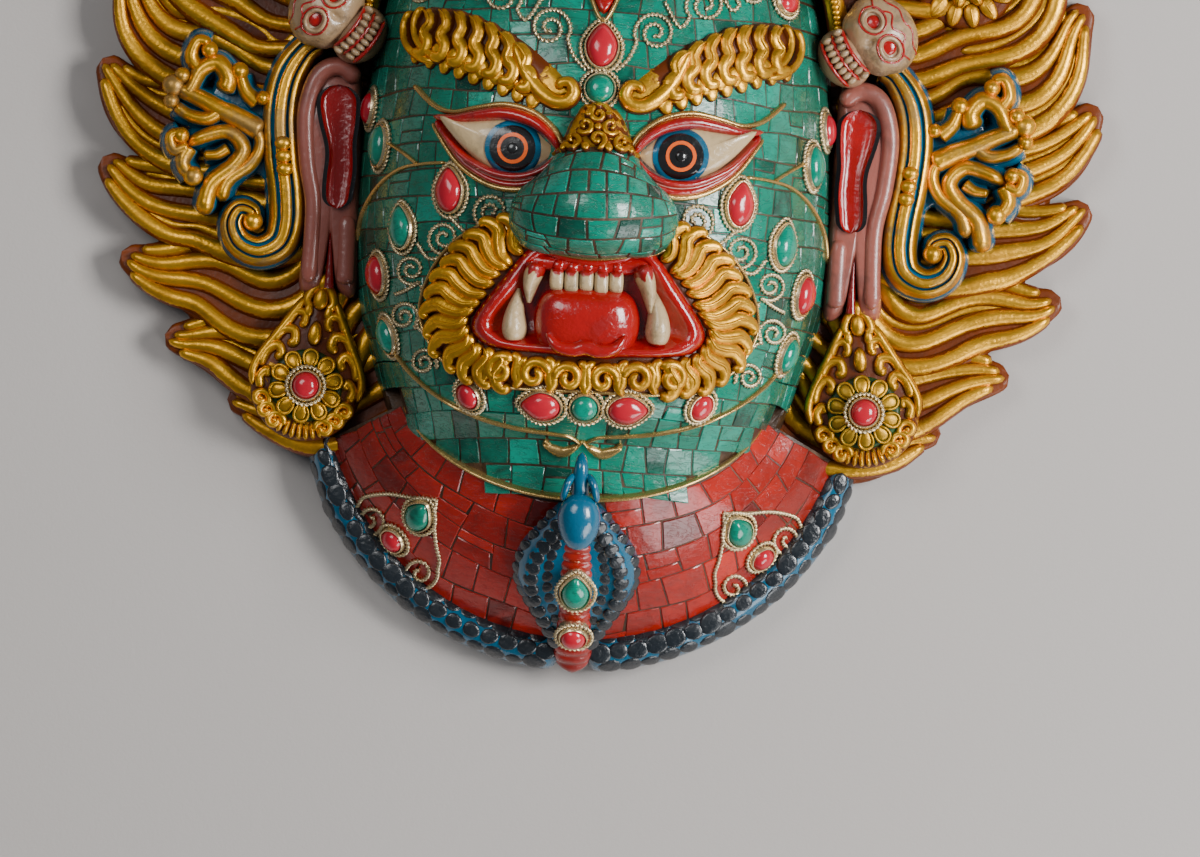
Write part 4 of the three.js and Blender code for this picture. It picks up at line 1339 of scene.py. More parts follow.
def flame_lock(form, k, side, rng, ribs):
    """Ground of one flame with the gilded ribs on it; its lower side lies over the lock below."""
    count = 60
    path = lock_path(k, side, count)
    s = np.linspace(0, 1, count)
    run = headings(path)
    sway = 3.4 * np.sin(TAU * 1.3 * s + 1.1 * k) * np.sin(math.pi * s) * side
    path = path + np.stack([-run[:, 1], run[:, 0]], axis=1) * sway[:, None]
    route = on_level(path, LOCK["base"])
    tilt = 2.4 * side
    fall = 1.4 + 4.2 * (1 - s)

    def ground(c, q):
        return (1.4 + 4.2 * (1 - c)) * round_back(q, 6) + tilt * q * (1 - c ** 3)

    # The ground keeps low relief, so between the ribs it shows the red ground, partly darkened by the
    # leaf's painted hollow shade.
    ribbon(form, route, lambda c: lock_half(c) * rounding(count, 0, 0.03), ground, sink=LOCK["base"],
           across=13, marks=lambda c, q: 0.1 + 0.1 * c + 0 * q)
    side_way = unit(np.cross(headings(route[0]), route[1]))
    half = lock_half(s)
    pitch = 1.66 / (ribs - 1)
    phase = rng.uniform(0, TAU)
    for number in range(2 * ribs - 1):
        fine = number % 2
        if fine and rng.random() < 0.6:
            continue
        q = -0.83 + pitch * number / 2
        low = q * side
        reach = 0.995 + 0.06 * min(low, 0) - 0.08 * max(low - 0.2, 0) - rng.uniform(0, 0.01)
        last = int((reach - 0.14 * fine) * (count - 1)) + 1
        first = int(rng.uniform(0.05, 0.35) * count) if fine else 0
        wave = 2.5 * np.sin(s * 10.5 + phase + 0.16 * number + 0.3 * rng.uniform(-1, 1)) * (1 - s) ** 0.5
        wave = wave + rng.uniform(-0.5, 0.5) * np.sin(s * 21 + phase)
        at = route[0] + side_way * (q * half * (1 - 0.22 * s ** 3) + wave)[:, None]
        at[:, 2] += fall * np.sqrt(1 - 0.8 * q ** 6) + tilt * q * (1 - s ** 3) - 0.7
        cut = np.linspace(0, 1, last - first)
        share = (0.16 if fine else 0.37) + 0.36 * s[first:last] ** 5 + 0.035 * np.sin(cut * 11 + phase * 3)
        wide = half[first:last] * pitch * share
        tall = (1.8 if fine else rng.uniform(4.4, 5.4)) * (1 - 0.34 * cut)
        ridge(form, (at[first:last], route[1][first:last]), lambda _, wide=wide: wide,
              lambda _, tall=tall: tall, sink=2.6, sides=10, start=0.1 * fine, end=0.035)


class GUARDIAN_OT_flames(Operator):
    """Build the flame locks of the halo"""

    bl_idname = "guardian.flames"
    bl_label = "Flames"

    def execute(self, context):
        rng = random.Random(sizes().seed)
        for name, side in SIDES:
            form = Form()
            for k in range(LOCKS):
                flame_lock(form, k, side, rng, sizes().ribs)
            if side > 0:
                flame_lock(form, LOCKS, 1, rng, sizes().ribs)
            form.finish(f"flames_{name}", ["flame_leaf"], "gold_leaf")
        return {"FINISHED"}


# ---- Crown: band, rope, skulls and rosettes ----
SOCKET = 0.4  # how far to each side of a skull's middle its eye sockets lie, as a direction


def socket_depth(ray):
    """Depth of the sockets and nose hole for directions from the skull's middle."""
    cut = 0.7 * np.exp(-((ray[:, 0] / 0.09) ** 2 + ((ray[:, 1] + 0.26) / 0.15) ** 2))
    for x in (-SOCKET, SOCKET):
        cut += np.exp(-(((ray[:, 0] - x) / 0.2) ** 2 + ((ray[:, 1] - 0.1) / 0.19) ** 2))
    return cut * (ray[:, 2] > 0.2)


def skull_shape(ray):
    """Radius of the skull: sunken sockets, cheeks, narrow temples and chin."""
    cheeks = sum(0.1 * np.exp(-(((ray[:, 0] - x) / 0.2) ** 2 + ((ray[:, 1] + 0.26) / 0.2) ** 2))
                 for x in (-0.5, 0.5))
    temple = 0.07 * np.exp(-((ray[:, 1] + 0.25) / 0.2) ** 2) * np.abs(ray[:, 0])
    return 1 - 0.3 * socket_depth(ray) + cheeks - temple - 0.16 * np.clip(-ray[:, 1], 0, 1) ** 2


def skull_spot(ray):
    """Points of the skull's surface in its own frame, for directions from its middle."""
    ray = unit(ray)
    radii = np.array([SKULL["width"] / 2 - 0.6, SKULL["height"] * 0.38, SKULL["depth"] / 2 - 0.8])
    return ray * skull_shape(ray)[:, None] * radii + [0, 3, 0]


def skull(form, x, v, lean, side):
    """One crown skull with its teeth, gums and post."""
    angle = math.radians(-side * lean)
    turn = np.array([[math.cos(angle), -math.sin(angle), 0], [math.sin(angle), math.cos(angle), 0],
                     [0, 0, 1]])
    middle = np.array([side * x, v, SKULL["z"]])
    ball(form, middle + turn @ [0, 3, 0], (SKULL["width"] / 2 - 0.6, SKULL["height"] * 0.38,
                                           SKULL["depth"] / 2 - 0.8), turn=turn, rings=30, spokes=48,
         shape=skull_shape)
    around = np.linspace(0, TAU, 40, endpoint=False)
    for eye in (-SOCKET, SOCKET):
        pit = skull_spot(np.array([[eye, 0.1, 0.86]]))[0]
        ball(form, middle + turn @ (pit + [0, 0, 0.7]), (3.5, 3.3, 1.7), turn=turn, rings=10, spokes=20,
             paint=1)
        for reach, wide, paint_index in ((0.27, 0.75, 0), (0.35, 0.38, 1)):
            x = eye + reach * np.cos(around)
            y = 0.1 + reach * 0.95 * np.sin(around)
            loop = skull_spot(np.stack([x, y, np.sqrt(np.clip(1 - x ** 2 - y ** 2, 0.05, 1))], axis=1))
            route = (middle + loop @ turn.T, np.tile(turn[:, 2], (40, 1)))
            ridge(form, route, wide, 0.9 if paint_index == 0 else 0.45, sink=1.5, sides=8, closed=True,
                  paint=paint_index)
    share = np.linspace(-1, 1, 40)
    for lift, bow in ((0.52, 0.1), (0.8, 0.04)):
        x = share * 0.86
        y = lift - bow * np.cos(share * 9) - 0.25 * share ** 2
        arch = skull_spot(np.stack([x, y, np.sqrt(np.clip(1 - x ** 2 - y ** 2, 0.02, 1))], axis=1))
        ridge(form, (middle + arch @ turn.T, np.tile(turn[:, 2], (40, 1))), 0.38, 0.4, sink=1, sides=6,
              paint=1)
    for drop, reach, bow in ((-10.2, 8.6, 1.9), (-14.2, 7.8, 1.2)):
        for share in np.linspace(-1, 1, 8):
            spot = middle + turn @ [share * reach, drop + bow * share ** 2, 10.2 - 3.2 * share ** 2]
            way = turn @ unit([share * 0.7, -0.15, 1])
            dome(form, spot, basis(way, turn @ [0, 1, 0]), oval(3.7, 2.2, 8), 1.7, sink=2, steps=3,
                 relief=0.95)
    for drop in (-8, -12.2, -16.6):
        arc = np.linspace(-1, 1, 15)[:, None]
        bow = np.hstack([arc * 9.6, drop + 1.7 * arc ** 2, 9.4 - 4.2 * arc ** 2])
        route = (middle + bow @ turn.T, np.tile(turn @ [0, 0, 1], (15, 1)))
        ridge(form, route, 0.8, 1.5, sink=3, sides=7, start=0.1, end=0.1, paint=1)
    ball(form, middle + turn @ [0, -11, -1], (SKULL["width"] * 0.35, SKULL["height"] * 0.25,
                                              SKULL["depth"] * 0.42), turn=turn, rings=14, spokes=26,
         relief=0.52)
    ball(form, middle + [0, 0, -14], (8.5, 8.5, 16), rings=10, spokes=18, relief=0.5)


def rosette(form, x, v, side):
    """Leafy gold disc: a boss and two rings of ribbed petals on a round plate."""
    middle = np.array([side * x, v, ROSETTE["z"]])
    slab(form, oval(38, 38, 60) + middle[:2], ROSETTE["z"] - 1, ROSETTE["z"] + 5.5, bevel=3, relief=0.25)
    for ring, (count, radius, length, width, rise) in enumerate(((14, 14.2, 9.5, 6.2, 4.2),
                                                                 (9, 8.2, 8, 5.4, 6.2))):
        for k in range(count):
            angle = TAU * (k + ring / 2) / count
            way = np.array([*toward(angle), 0])
            dome(form, middle + way * radius + [0, 0, 4.5], basis((0, 0, 1), way),
                 oval(length, width, 16, egg=-0.2), rise - 1.5, sink=3, steps=4)
            rib = [middle + way * (radius - length * 0.4), middle + way * (radius + length * 0.4)]
            ridge(form, on_level(spline(rib, 8), middle[2] + rise + 2.2), 0.7, 1, sink=1, sides=6,
                  start=0.4, end=0.4)
    ball(form, middle + [0, 0, 8], (4.8, 4.8, 6.5), rings=10, spokes=18)


class GUARDIAN_OT_crown(Operator):
    """Build the crown: gilt band and rope, skulls and rosettes"""

    bl_idname = "guardian.crown"
    bl_label = "Crown"

    def execute(self, context):
        gold = Form()
        band = spline([(-84, 62), (-76, 88), (-52, 104), (0, 114), (52, 104), (76, 88), (84, 62)], 120)
        share = np.linspace(0, 1, 120)
        z = 26 + 24 * np.sin(math.pi * share)
        ridge(gold, on_level(band, z), 3.8, 4.2, sink=24, sides=9)
        for step in (-2.4, 2.4):
            ridge(gold, on_level(band + [0, step], z + 2), 0.8, 2, sink=4, sides=6)
        for x, v in ROSETTES:
            for side in (-1, 1):
                rosette(gold, x, v, side)
        gold.finish("crown_gilding", ["carved_leaf"], "gold_leaf")
        bone = Form()
        skull(bone, *SKULLS[0], 1)
        for x, v, lean in SKULLS[1:]:
            for side in (-1, 1):
                skull(bone, x, v, lean, side)
        bone.finish("crown_skulls", ["skull_bone", "red_gloss"], "bone_paint", smooth=70)
        spots = []
        for k in range(2, 118):
            spots.append(((*band[k], z[k] + 4.6), (0, 0, 1), (*(band[k + 1] - band[k - 1]), 0), (1, 1, 1)))
        for side in (-1, 1):
            at, out = head_line([(78, 73), (80.5, 62), (82, 50), (81, 41)], side, 18, 1.2)
            ahead = headings(at)
            for k in range(18):
                way = unit(ahead[k] + 0.5 * np.cross(ahead[k], out[k]))
                spots.append((at[k], out[k], way, (1.3, 1, 1.3)))
        bead = Form()
        dome(bead, (0, 0, 0), np.eye(3), oval(2.6, 3.4, 10), 1.7, sink=1.5, steps=4)
        studs("crown_beads", spots, bead, "carved_leaf", "gold_leaf")
        return {"FINISHED"}


# ---- Ears and scrolls ----
def ear(skin, hollow, side):
    """Cushion of the ear, its raised rim, and the keyhole hollow with the dark line round it."""
    outline = [(84, 45), (88, 49.5), (94, 50.5), (99.5, 47), (103.5, 40), (105.8, 29), (104.6, 14),
               (101.8, 0), (101.4, -14), (102, -31), (95.5, -31.5), (93.4, -23), (92, -14), (90.6, -21),
               (88.5, -31), (82, -31), (82, 0)]
    flat = spline(mirrored(outline, side), 140, closed=True)
    dome(skin, (0, 0, 20), np.eye(3), flat, 9.5, sink=19.5, steps=9, round_off=0.3, relief=0.9)
    rim = level_line([(85, 42), (89, 46.5), (94, 47.2), (98.6, 44), (101.5, 37), (102.6, 28), (101.2, 13),
                      (98.6, 0), (98.4, -13), (99, -29)], side, 70, 28.4)
    ridge(skin, rim, lambda s: 3.4 - 0.5 * s, lambda s: 3.6 - 1.4 * s, sink=4, sides=14, start=0.04,
          end=0.05)
    lobe = level_line([(86.5, -4), (86.2, -14), (86, -29)], side, 24, 28.2)
    ridge(skin, lobe, 3.2, 2.4, sink=4, sides=12, start=0.2, end=0.08)
    # Painted shade: the notch is a strip held at the lowest relief, so its gloss red takes the full hollow
    # darkening and stands for the shaded slit in the lobe.
    notch = level_line([(92, -11), (91.7, -20), (91.6, -30.5)], side, 16, 27.4)
    ridge(hollow, notch, lambda s: 0.3 + 1.4 * s, 1, sink=4, sides=7, marks=lambda s, q: 0 * s * q)
    hole = spline(mirrored([(91.4, 41), (91.3, 34), (90.3, 24), (89.5, 14), (90.1, 4), (90.2, -2.5)], side),
                  60)
    width = [(0, 5), (0.14, 6.2), (0.3, 5.6), (0.5, 4.1), (0.75, 4.3), (1, 3.6)]
    blunt = rounding(60, 0.12, 0.1)
    ribbon(hollow, on_level(hole, 29), lambda s: (along(width, s) + 1.5) * blunt,
           lambda s, q: blunt[:, None] + 0 * q, sink=4, across=9, paint=1)
    # The bowl's relief is low in its middle, so the paint's painted hollow shade darkens it there; it stays
    # bright at the raised rim and the bulb near the top.
    ribbon(hollow, on_level(hole, 29.3), lambda s: along(width, s) * blunt,
           lambda s, q: (0.9 + 2.0 * np.abs(q) ** 5 + 0.25 * np.exp(-((np.abs(q) - 0.55) / 0.16) ** 2)),
           sink=3, across=27, marks=lambda s, q: np.clip(0.3 + 0.7 * np.abs(q) ** 3 + 0.35
                                                         * np.exp(-((s - 0.16) / 0.1) ** 2), 0, 1))


def scroll(gold, ground, side):
    """Stem, volute and curling vine of one scroll, on its blue ground."""
    stem = spline(mirrored([(98, 56), (104, 52.5), (109.5, 43), (111.4, 30), (110.2, 15), (108.2, 3),
                            (107.6, -8), (110, -15.5), (117, -18.8), (124, -16), (126.8, -9.5),
                            (124.4, -4.2), (119.8, -5.2), (119.4, -8.6)], side), 170)
    thick = [(0, 4.2), (0.15, 6.2), (0.45, 6.6), (0.62, 6.4), (0.8, 5), (1, 3)]
    tall = [(0, 5.6), (0.5, 8), (1, 6.6)]
    ridge(ground, on_level(stem, 17), lambda s: along(thick, s) + 1.2, 7.5, sink=17, sides=10, start=0.02)

    def grooves(q):
        return np.exp(-((q + side * 0.42) / 0.1) ** 2) + np.exp(-((q - side * 0.34) / 0.08) ** 2)

    ribbon(gold, on_level(stem, 22), lambda s: along(thick, s) * rounding(170, 0.02, 0.04),
           lambda s, q: along(tall, s) * round_back(q, 4) - 2.4 * grooves(q), sink=3, across=27,
           marks=lambda s, q: np.clip(1.2 - 1.3 * grooves(q) - 0.9 * np.abs(q) ** 8, 0, 1) + 0 * s)
    for places, wide, high in (
        ([(137, -7), (134.5, 4), (127, 11), (124, 17), (129, 22.5), (137, 21), (144, 17.5)], 3.6, 7.6),
        ([(131.5, -2), (128.5, 6), (121, 12), (118, 19), (121, 25), (128, 27)], 3, 6.6),
        ([(117, 23), (125, 27), (133, 30.5), (139, 33.5), (145, 36), (149, 38)], 4.2, 7.8),
        ([(132, 36), (130.5, 41.5), (134.5, 46.5), (140, 44), (143, 38), (146, 33.5)], 3.8, 8),
        ([(139.5, 43), (143.5, 48), (141.5, 54), (137, 53)], 3, 6.8),
        ([(119.5, 33), (124, 37), (126.5, 43)], 3.2, 6.6),
        ([(131, 31), (137, 27), (144, 28), (149, 31.5)], 3, 7),
        ([(143, 17), (148, 15.5), (149.5, 20), (146, 22)], 2.8, 7.4),
        ([(143, 17), (145, 11), (141.5, 6)], 3.4, 7),
        ([(129, 17), (133, 14.5), (138, 14)], 2.4, 6),
    ):
        vine = spline(mirrored(places, side), 10 * len(places))
        ridge(gold, on_level(vine, 21.8), lambda s, wide=wide: wide * (1.12 - 0.34 * s), high, sink=3,
              sides=11, start=0.08, end=0.12)
        ridge(ground, on_level(vine, 15), wide + 1.5, 7.5, sink=15, sides=9, start=0.08, end=0.1)
    for x, v, r in ((149.5, 38, 4), (146.5, 41.5, 3), (137.4, 51, 3), (146, 20.5, 3), (141, 6.5, 3.6),
                    (126.5, 44, 3.2), (119.4, -8.2, 3.6), (118, 35, 2.6), (150, 32.5, 2.8)):
        ball(gold, (side * x, v, 26), (r, r, 4.2), rings=10, spokes=18, relief=0.9)
    for v in (19.5, 15, 10.5):
        ball(gold, (side * (109.0 + (v - 10) * 0.12), v, 30), (3, 2.6, 2.4), rings=8, spokes=14, relief=0.8)
    sheet = [(108, 42), (118, 38), (128, 44), (136, 38), (136, 26), (126, 12), (118, 8), (110, 4)]
    slab(ground, spline(mirrored(sheet, side), 40, closed=True), 9, 20.5, bevel=2)


class GUARDIAN_OT_ears(Operator):
    """Build the ears with their red hollows, and the gilt scrolls beside them"""

    bl_idname = "guardian.ears"
    bl_label = "Ears and scrolls"

    def execute(self, context):
        skin = Form()
        hollow = Form()
        ground = Form()
        gold = Form()
        for _, side in SIDES:
            ear(skin, hollow, side)
            scroll(gold, ground, side)
        skin.finish("ears", ["ear_skin"], "skin_paint")
        hollow.finish("ear_hollows", ["red_gloss", "black_paint"], "red_paint")
        ground.finish("scroll_ground", ["blue_paint"], "blue_paint")
        gold.finish("scrolls", ["scroll_leaf"], "gold_leaf")
        return {"FINISHED"}


# ---- Pendants ----
def pendant(gold, flower, side):
    """One drop-shaped pendant; its own frame has the drop's point upwards."""
    lean = math.radians(side * 7)
    centre = np.array([side * PENDANT["x"], PENDANT["v"]])
    turn = np.array([[math.cos(lean), -math.sin(lean)], [math.sin(lean), math.cos(lean)]])
    face = PENDANT["base"] + PENDANT["rise"] - 5.0

    def spots(places):
        return centre + np.asarray(places, float) @ turn.T

    touch = math.asin(PENDANT["radius"] / 41)
    arc = np.linspace(math.pi - touch, TAU + touch, 44)
    rim = PENDANT["radius"] - 0.9
    outline = np.vstack([rim * np.stack([np.cos(arc), np.sin(arc)], 1),
                         [[4.2, 33], [2.6, 38], [-2.6, 38], [-4.2, 33]]])
    slab(gold, spots(outline), PENDANT["base"], face, bevel=4.5, relief=0.47)
    for number, start in enumerate(np.linspace(205, 335, 9)):
        angle = math.radians(start)
        middle = toward(angle, 16.4)
        if 3 <= number <= 5:
            for spread in (-0.12, 0.02, 0.16):
                way = toward(angle + spread)
                rib = spots([way * 12.4, way * 16, way * 19.2])
                ridge(gold, on_level(spline(rib, 8), face - 1.6), lambda s: 0.8 + 0.5 * s, 2.6, sink=2,
                      sides=7, start=0.2, end=0.3)
            continue
        hand = 1 if number < 4 else -1
        coil = spiral(middle, 3.5, start + 90 * hand, 1.25 * hand, 24, core=0.2)
        ridge(gold, on_level(spots(coil), face - 1.4), lambda s: 1.75 - 0.5 * s, 3.2, sink=2, sides=9,
              start=0.1, end=0.15)
        ball(gold, (*spots([middle])[0], face - 0.3), (1.1, 1.1, 1.6), rings=6, spokes=10)
    for hand in (-1, 1):
        for places, wide in (
            ([(17.5, 4), (15.6, 10), (12.2, 12.5), (10.4, 9.5), (12.8, 7.6)], 1.4),
            ([(14.5, 13), (11.5, 18), (7.4, 18.5), (6.6, 14.6), (9.4, 14)], 1.4),
            ([(10.5, 20), (8, 25), (4.6, 25), (4.2, 21.6), (6.4, 21.2)], 1.2),
            ([(18.6, -3), (19.2, 3), (17.2, 9), (13.5, 15.5), (9.4, 23), (5, 31)], 1.1),
            ([(15.4, -3.5), (16.6, 0.5), (14.4, 3.2), (13.2, 0.5)], 1.3),
            ([(0.6, 36), (3.2, 33.5), (4.6, 29.5), (2.4, 27.2)], 1.3),
        ):
            curl = spline(spots(mirrored(places, hand)), 9 * len(places))
            ridge(gold, on_level(curl, face - 1.3), wide * 1.55, 3.3, sink=2, sides=9, start=0.14, end=0.12)
    up = [*(turn @ [0, 1]), 0]
    for (x, v), length, width, rise in (((0, 18.6), 9.5, 5.2, 4.2), ((0, 31), 9, 5.6, 4.4),
                                        ((-3.6, 26.4), 6, 3.6, 3.2), ((3.6, 26.4), 6, 3.6, 3.2),
                                        ((0, 37), 7, 4.4, 3.8)):
        dome(gold, (*spots([(x, v)])[0], face - 1), basis((0, 0, 1), up),
             oval(length, width, 18, egg=-0.15), rise, sink=2, steps=5)
    ring = spline(spots(oval(10.4, 10.4, 24)), 48, closed=True)
    ridge(gold, on_level(ring, face + 2), 0.9, 2.6, sink=3, sides=8, closed=True)
    slab(flower, spots(oval(25.6, 25.6, 40)), face - 2, face + 1.4, bevel=1.5, relief=0.05)
    for k in range(10):
        angle = TAU * (k + 0.5) / 10
        way = toward(angle)
        leaf = basis((*(turn @ way * 0.22), 1), [*(turn @ way), 0])
        spot = (*spots([way * 9.2])[0], face + 1.8)
        dome(flower, spot, leaf, oval(7.4, 5.4, 18, egg=0.22), 1.9, sink=2, steps=6, round_off=0.8)
        rim_line = [(3.1 * math.sin(b) * (1 + 0.25 * math.cos(b)), 3.9 * math.cos(b))
                    for b in np.linspace(-2.5, 2.5, 13)]
        places = [np.array(spot) + leaf @ [p[0] * 0.78, p[1] * 0.86, 1.2] for p in rim_line]
        route = (spline(places, 22), np.tile(leaf @ [0, 0, 1], (22, 1)))
        ridge(flower, route, 0.6, 1, sink=1, sides=6, start=0.15, end=0.15)


class GUARDIAN_OT_pendants(Operator):
    """Build the two ear pendants with their flowers and curls"""

    bl_idname = "guardian.pendants"
    bl_label = "Pendants"

    def execute(self, context):
        gold = Form()
        flower = Form()
        for _, side in SIDES:
            pendant(gold, flower, side)
        gold.finish("pendants", ["carved_leaf"], "gold_leaf")
        flower.finish("pendant_flowers", ["petal_leaf"], "gold_leaf")
        return {"FINISHED"}


# ---- Brows, bridge plate and third eye ----
THIRD_EYE_V = 84


def brow(gold, side):
    """Ground, upright curls, lower scales and inner volute of one brow."""
    spine = spline(mirrored([(11, 41), (23, 46.5), (36, 52.5), (50, 58), (64, 61.5)], side), 60)
    width = [(0, 3.4), (0.18, 6.6), (0.4, 9.4), (0.75, 10.2), (1, 8.6)]
    blunt = rounding(60, 0.08, 0.03)
    ribbon(gold, on_head(spine, -0.3), lambda s: along(width, s) * blunt,
           lambda s, q: 2.2 * np.clip(1 - q ** 4, 0, 1), sink=2.5, across=13,
           marks=lambda s, q: np.clip(1.0 - 2.4 * s, 0.12, 1) + 0 * q)
    for k in range(7):
        share = k / 6
        foot = np.array([25.0 + 5.9 * k, 44.6 + 2.5 * k - 0.12 * k * k])
        tall = 9.0 + 6.0 * math.sin(math.pi * min(share * 0.62 + 0.2, 1))
        lean = 3.6 - 4.6 * share
        curl = [foot + [lean + 1.4, tall], foot + [lean * 0.9 - 0.9, tall * 0.84],
                foot + [lean * 0.6 - 1.4, tall * 0.62], foot + [lean * 0.3 + 0.2, tall * 0.36],
                foot + [-1.4, 0.1 * tall], foot + [-0.2, -2.4], foot + [2.2, -2.6], foot + [3.2, -0.8]]
        route = head_line(curl, side, 38, 1)
        ridge(gold, route, lambda s: 1.95 + 1.05 * np.sin(math.pi * np.clip(s * 0.95 + 0.05, 0, 1)) ** 0.7,
              3.4, sink=2, sides=11, start=0.14, end=0.1)
        crest = head_line(curl[:5], side, 20, 3.4)
        ridge(gold, crest, 0.75, 1.6, sink=1.5, sides=7, start=0.3, end=0.3)
    for row, (drop, size) in enumerate(((0, 1), (-2.6, 0.8))):
        for k in range(9):
            spot = np.array([20.5 + 5.1 * k + 2.5 * row, 40.6 + 1.9 * k - 0.02 * k * k + drop])
            at, out = on_head(mirrored([spot], side), 0.5)
            dome(gold, at[0], basis(out[0], (side * 0.2, -1, 0)),
                 oval(8.0 * size, 6.6 * size, 18, egg=-0.1), 2.5 - 0.5 * row, sink=2, steps=5)
    inner = [(30, 58), (28, 52.5), (25, 46.5), (20.5, 41), (15.6, 37.8), (11, 38), (8.8, 41), (10.4, 44.4),
             (13.6, 44), (14, 41.4)]
    ridge(gold, head_line(inner, side, 60, 0.8), lambda s: 1.9 + 1.1 * np.sin(math.pi * s), 3.8, sink=2,
          sides=11, start=0.08, end=0.06)
    outer = [(65.5, 67.5), (67.5, 62), (66.6, 56), (62.5, 51.5), (56.5, 49.5)]
    for step in (0, 3.6):
        places = [(x - step, v + step * 0.4) for x, v in outer]
        ridge(gold, head_line(places, side, 40, 0.8), 1.8, 3.2, sink=2, sides=9, start=0.1, end=0.2)


def bridge(gold):
    """Small plate of curled leaves at the top of the nose."""
    skin = nose_sheet(70, 95, 175, 57)
    x, v = skin[..., 0], skin[..., 1]
    bumps = np.sin(x * 1.7 + v * 0.6) * np.sin(v * 1.5 - x * 0.5)
    shown = v > 22.6 - x ** 2 / 60
    plate = skin + unit(skin - NOSE_HEART) * np.where(shown, 0.9 + 0.5 * bumps, -1.5)[..., None]
    gold.patch(plate, relief=np.clip(0.62 + 0.5 * bumps, 0, 1).ravel())
    samples = skin.reshape(-1, 3)

    def lay(places, lift):
        """Points on the plate, and outward directions."""
        places = np.asarray(places, float)
        apart = np.linalg.norm(samples[None, :, :2] - places[:, None], axis=2)
        near = samples[apart.argmin(axis=1)]
        out = unit(near - NOSE_HEART)
        return np.column_stack([places, near[:, 2]]) + out * (lift + 0.8), out

    for x, v, start, hand in ((-4.2, 28.8, 200, 1), (4.2, 28.8, -20, -1), (0, 32.8, 90, 1),
                              (-8, 23.8, 180, 1), (8, 23.8, 0, -1), (0, 24.4, 270, 1)):
        coil = spiral((x, v), 3, start, 1.2 * hand, 24)
        ridge(gold, lay(coil, 0), lambda s: 1.25 - 0.3 * s, 1.7, sink=2, sides=9, start=0.1, end=0.1)
    for x, v in ((-3.8, 21.8), (3.8, 21.8), (-11, 21.4), (11, 21.4), (0, 28.6), (-3.4, 33), (3.4, 33),
                 (0, 36)):
        at, out = lay([(x, v)], 0.2)
        dome(gold, at[0], basis(out[0], (0, 1, 0)), oval(3.8, 3, 12), 1.5, sink=1.5, steps=4)


def third_eye_outline(wide, count):
    """Outline of the third eye at that half width."""
    half = [(0, -1.7), (0.62, -0.55), (1, 0), (0.62, 0.7), (0, 1.5)]
    whole = np.array(half + mirrored(half[1:-1], -1)[::-1])
    return spline(whole * wide + [0, THIRD_EYE_V], count, closed=True)


def third_eye(form):
    """Upright eye in the middle of the forehead."""
    for wide, lift, paint_index in ((9.6, 1.5, 0), (5.6, 2.4, 1), (2.6, 3.4, 2)):
        at, out = on_head([(0, THIRD_EYE_V)])
        flat = third_eye_outline(wide, 40) - [0, THIRD_EYE_V]
        dome(form, at[0], basis(out[0], (0, 1, 0)), flat, lift, sink=3, steps=6, round_off=0.6, relief=1,
             paint=paint_index)


class GUARDIAN_OT_brows(Operator):
    """Carve the gilt brows, the leaf plate on the bridge and the third eye"""

    bl_idname = "guardian.brows"
    bl_label = "Brows"

    def execute(self, context):
        gold = Form()
        for _, side in SIDES:
            brow(gold, side)
        bridge(gold)
        gold.finish("brows", ["carved_leaf"], "gold_leaf")
        eye = Form()
        third_eye(eye)
        eye.finish("third_eye", ["red_gloss", "eye_white", "black_paint"], "red_paint")
        rim = Form()
        for wide, step in ((10.2, 0), (6.2, 0.6)):
            ridge(rim, on_head(third_eye_outline(wide, 60), 0.6 + step), 0.8, 1.5, closed=True)
        rim.finish("third_eye_rim", ["gilt_wire"], "setting_wire")
        return {"FINISHED"}


# ---- Eyes ----
IRIS = (28.9, 21)
# radius, height above the white and number of the paint of each ring, from the outside in
IRIS_RINGS = [(9.9, 0.25, 1), (8, 0.45, 2), (5.4, 0.62, 3), (4.1, 0.78, 2)]


def eye_opening(side):
    """Outline of the eye's opening about its middle, as seen from the front, and that middle."""
    places = [(13, 20.3), (17, 25), (23, 29.2), (32, 31.6), (41, 30.4), (49, 29.6), (56, 31.2), (51.5, 25),
              (46, 19.5), (40, 15.2), (33, 12.4), (25, 12.2), (18.5, 15)]
    outline = spline(mirrored(places, side), 72, closed=True)
    middle = outline.mean(axis=0)
    return outline - middle, middle


def eyeball(form, side):
    """White of the eye with the rings of the iris set on it."""
    outline, middle = eye_opening(side)
    at, out = on_head([middle], -1)
    turn = basis(unit(out[0] + [0, 0, 1.2]), (0, 1, 0))
    rise = 4.6
    dome(form, at[0], turn, outline, rise, sink=4, steps=14, round_off=0.62, relief=0.9)
    around = np.arctan2(outline[:, 1], outline[:, 0])
    order = np.argsort(around)
    reach = np.linalg.norm(outline, axis=1)[order]
    iris = np.array([side * IRIS[0], IRIS[1]]) - middle
    angle = np.linspace(0, TAU, 48, endpoint=False)
    for radius, lift, paint_index in IRIS_RINGS:
        rings = []
        for share in np.linspace(1, 0, 9)[:-1]:
            flat = iris + radius * share * np.stack([np.cos(angle), np.sin(angle)], axis=1)
            edge = np.interp(np.arctan2(flat[:, 1], flat[:, 0]), around[order], reach, period=TAU)
            ratio = np.clip(np.linalg.norm(flat, axis=1) / edge, 0, 0.98)
            z = rise * np.sqrt(1 - ratio ** (2 / 0.62)) + lift
            rings.append(np.column_stack([flat, z]))
        points = np.vstack([rings[0] - [0, 0, 2], *rings, [rings[-1].mean(axis=0)]])
        form.cushion(points @ turn.T + at[0], 48, paint=paint_index)
    top = rise + IRIS_RINGS[-1][1] + 0.1
    ball(form, at[0] + turn @ [*iris, top], (1.9, 1.9, 0.7), turn=turn, rings=10, spokes=22, paint=2)


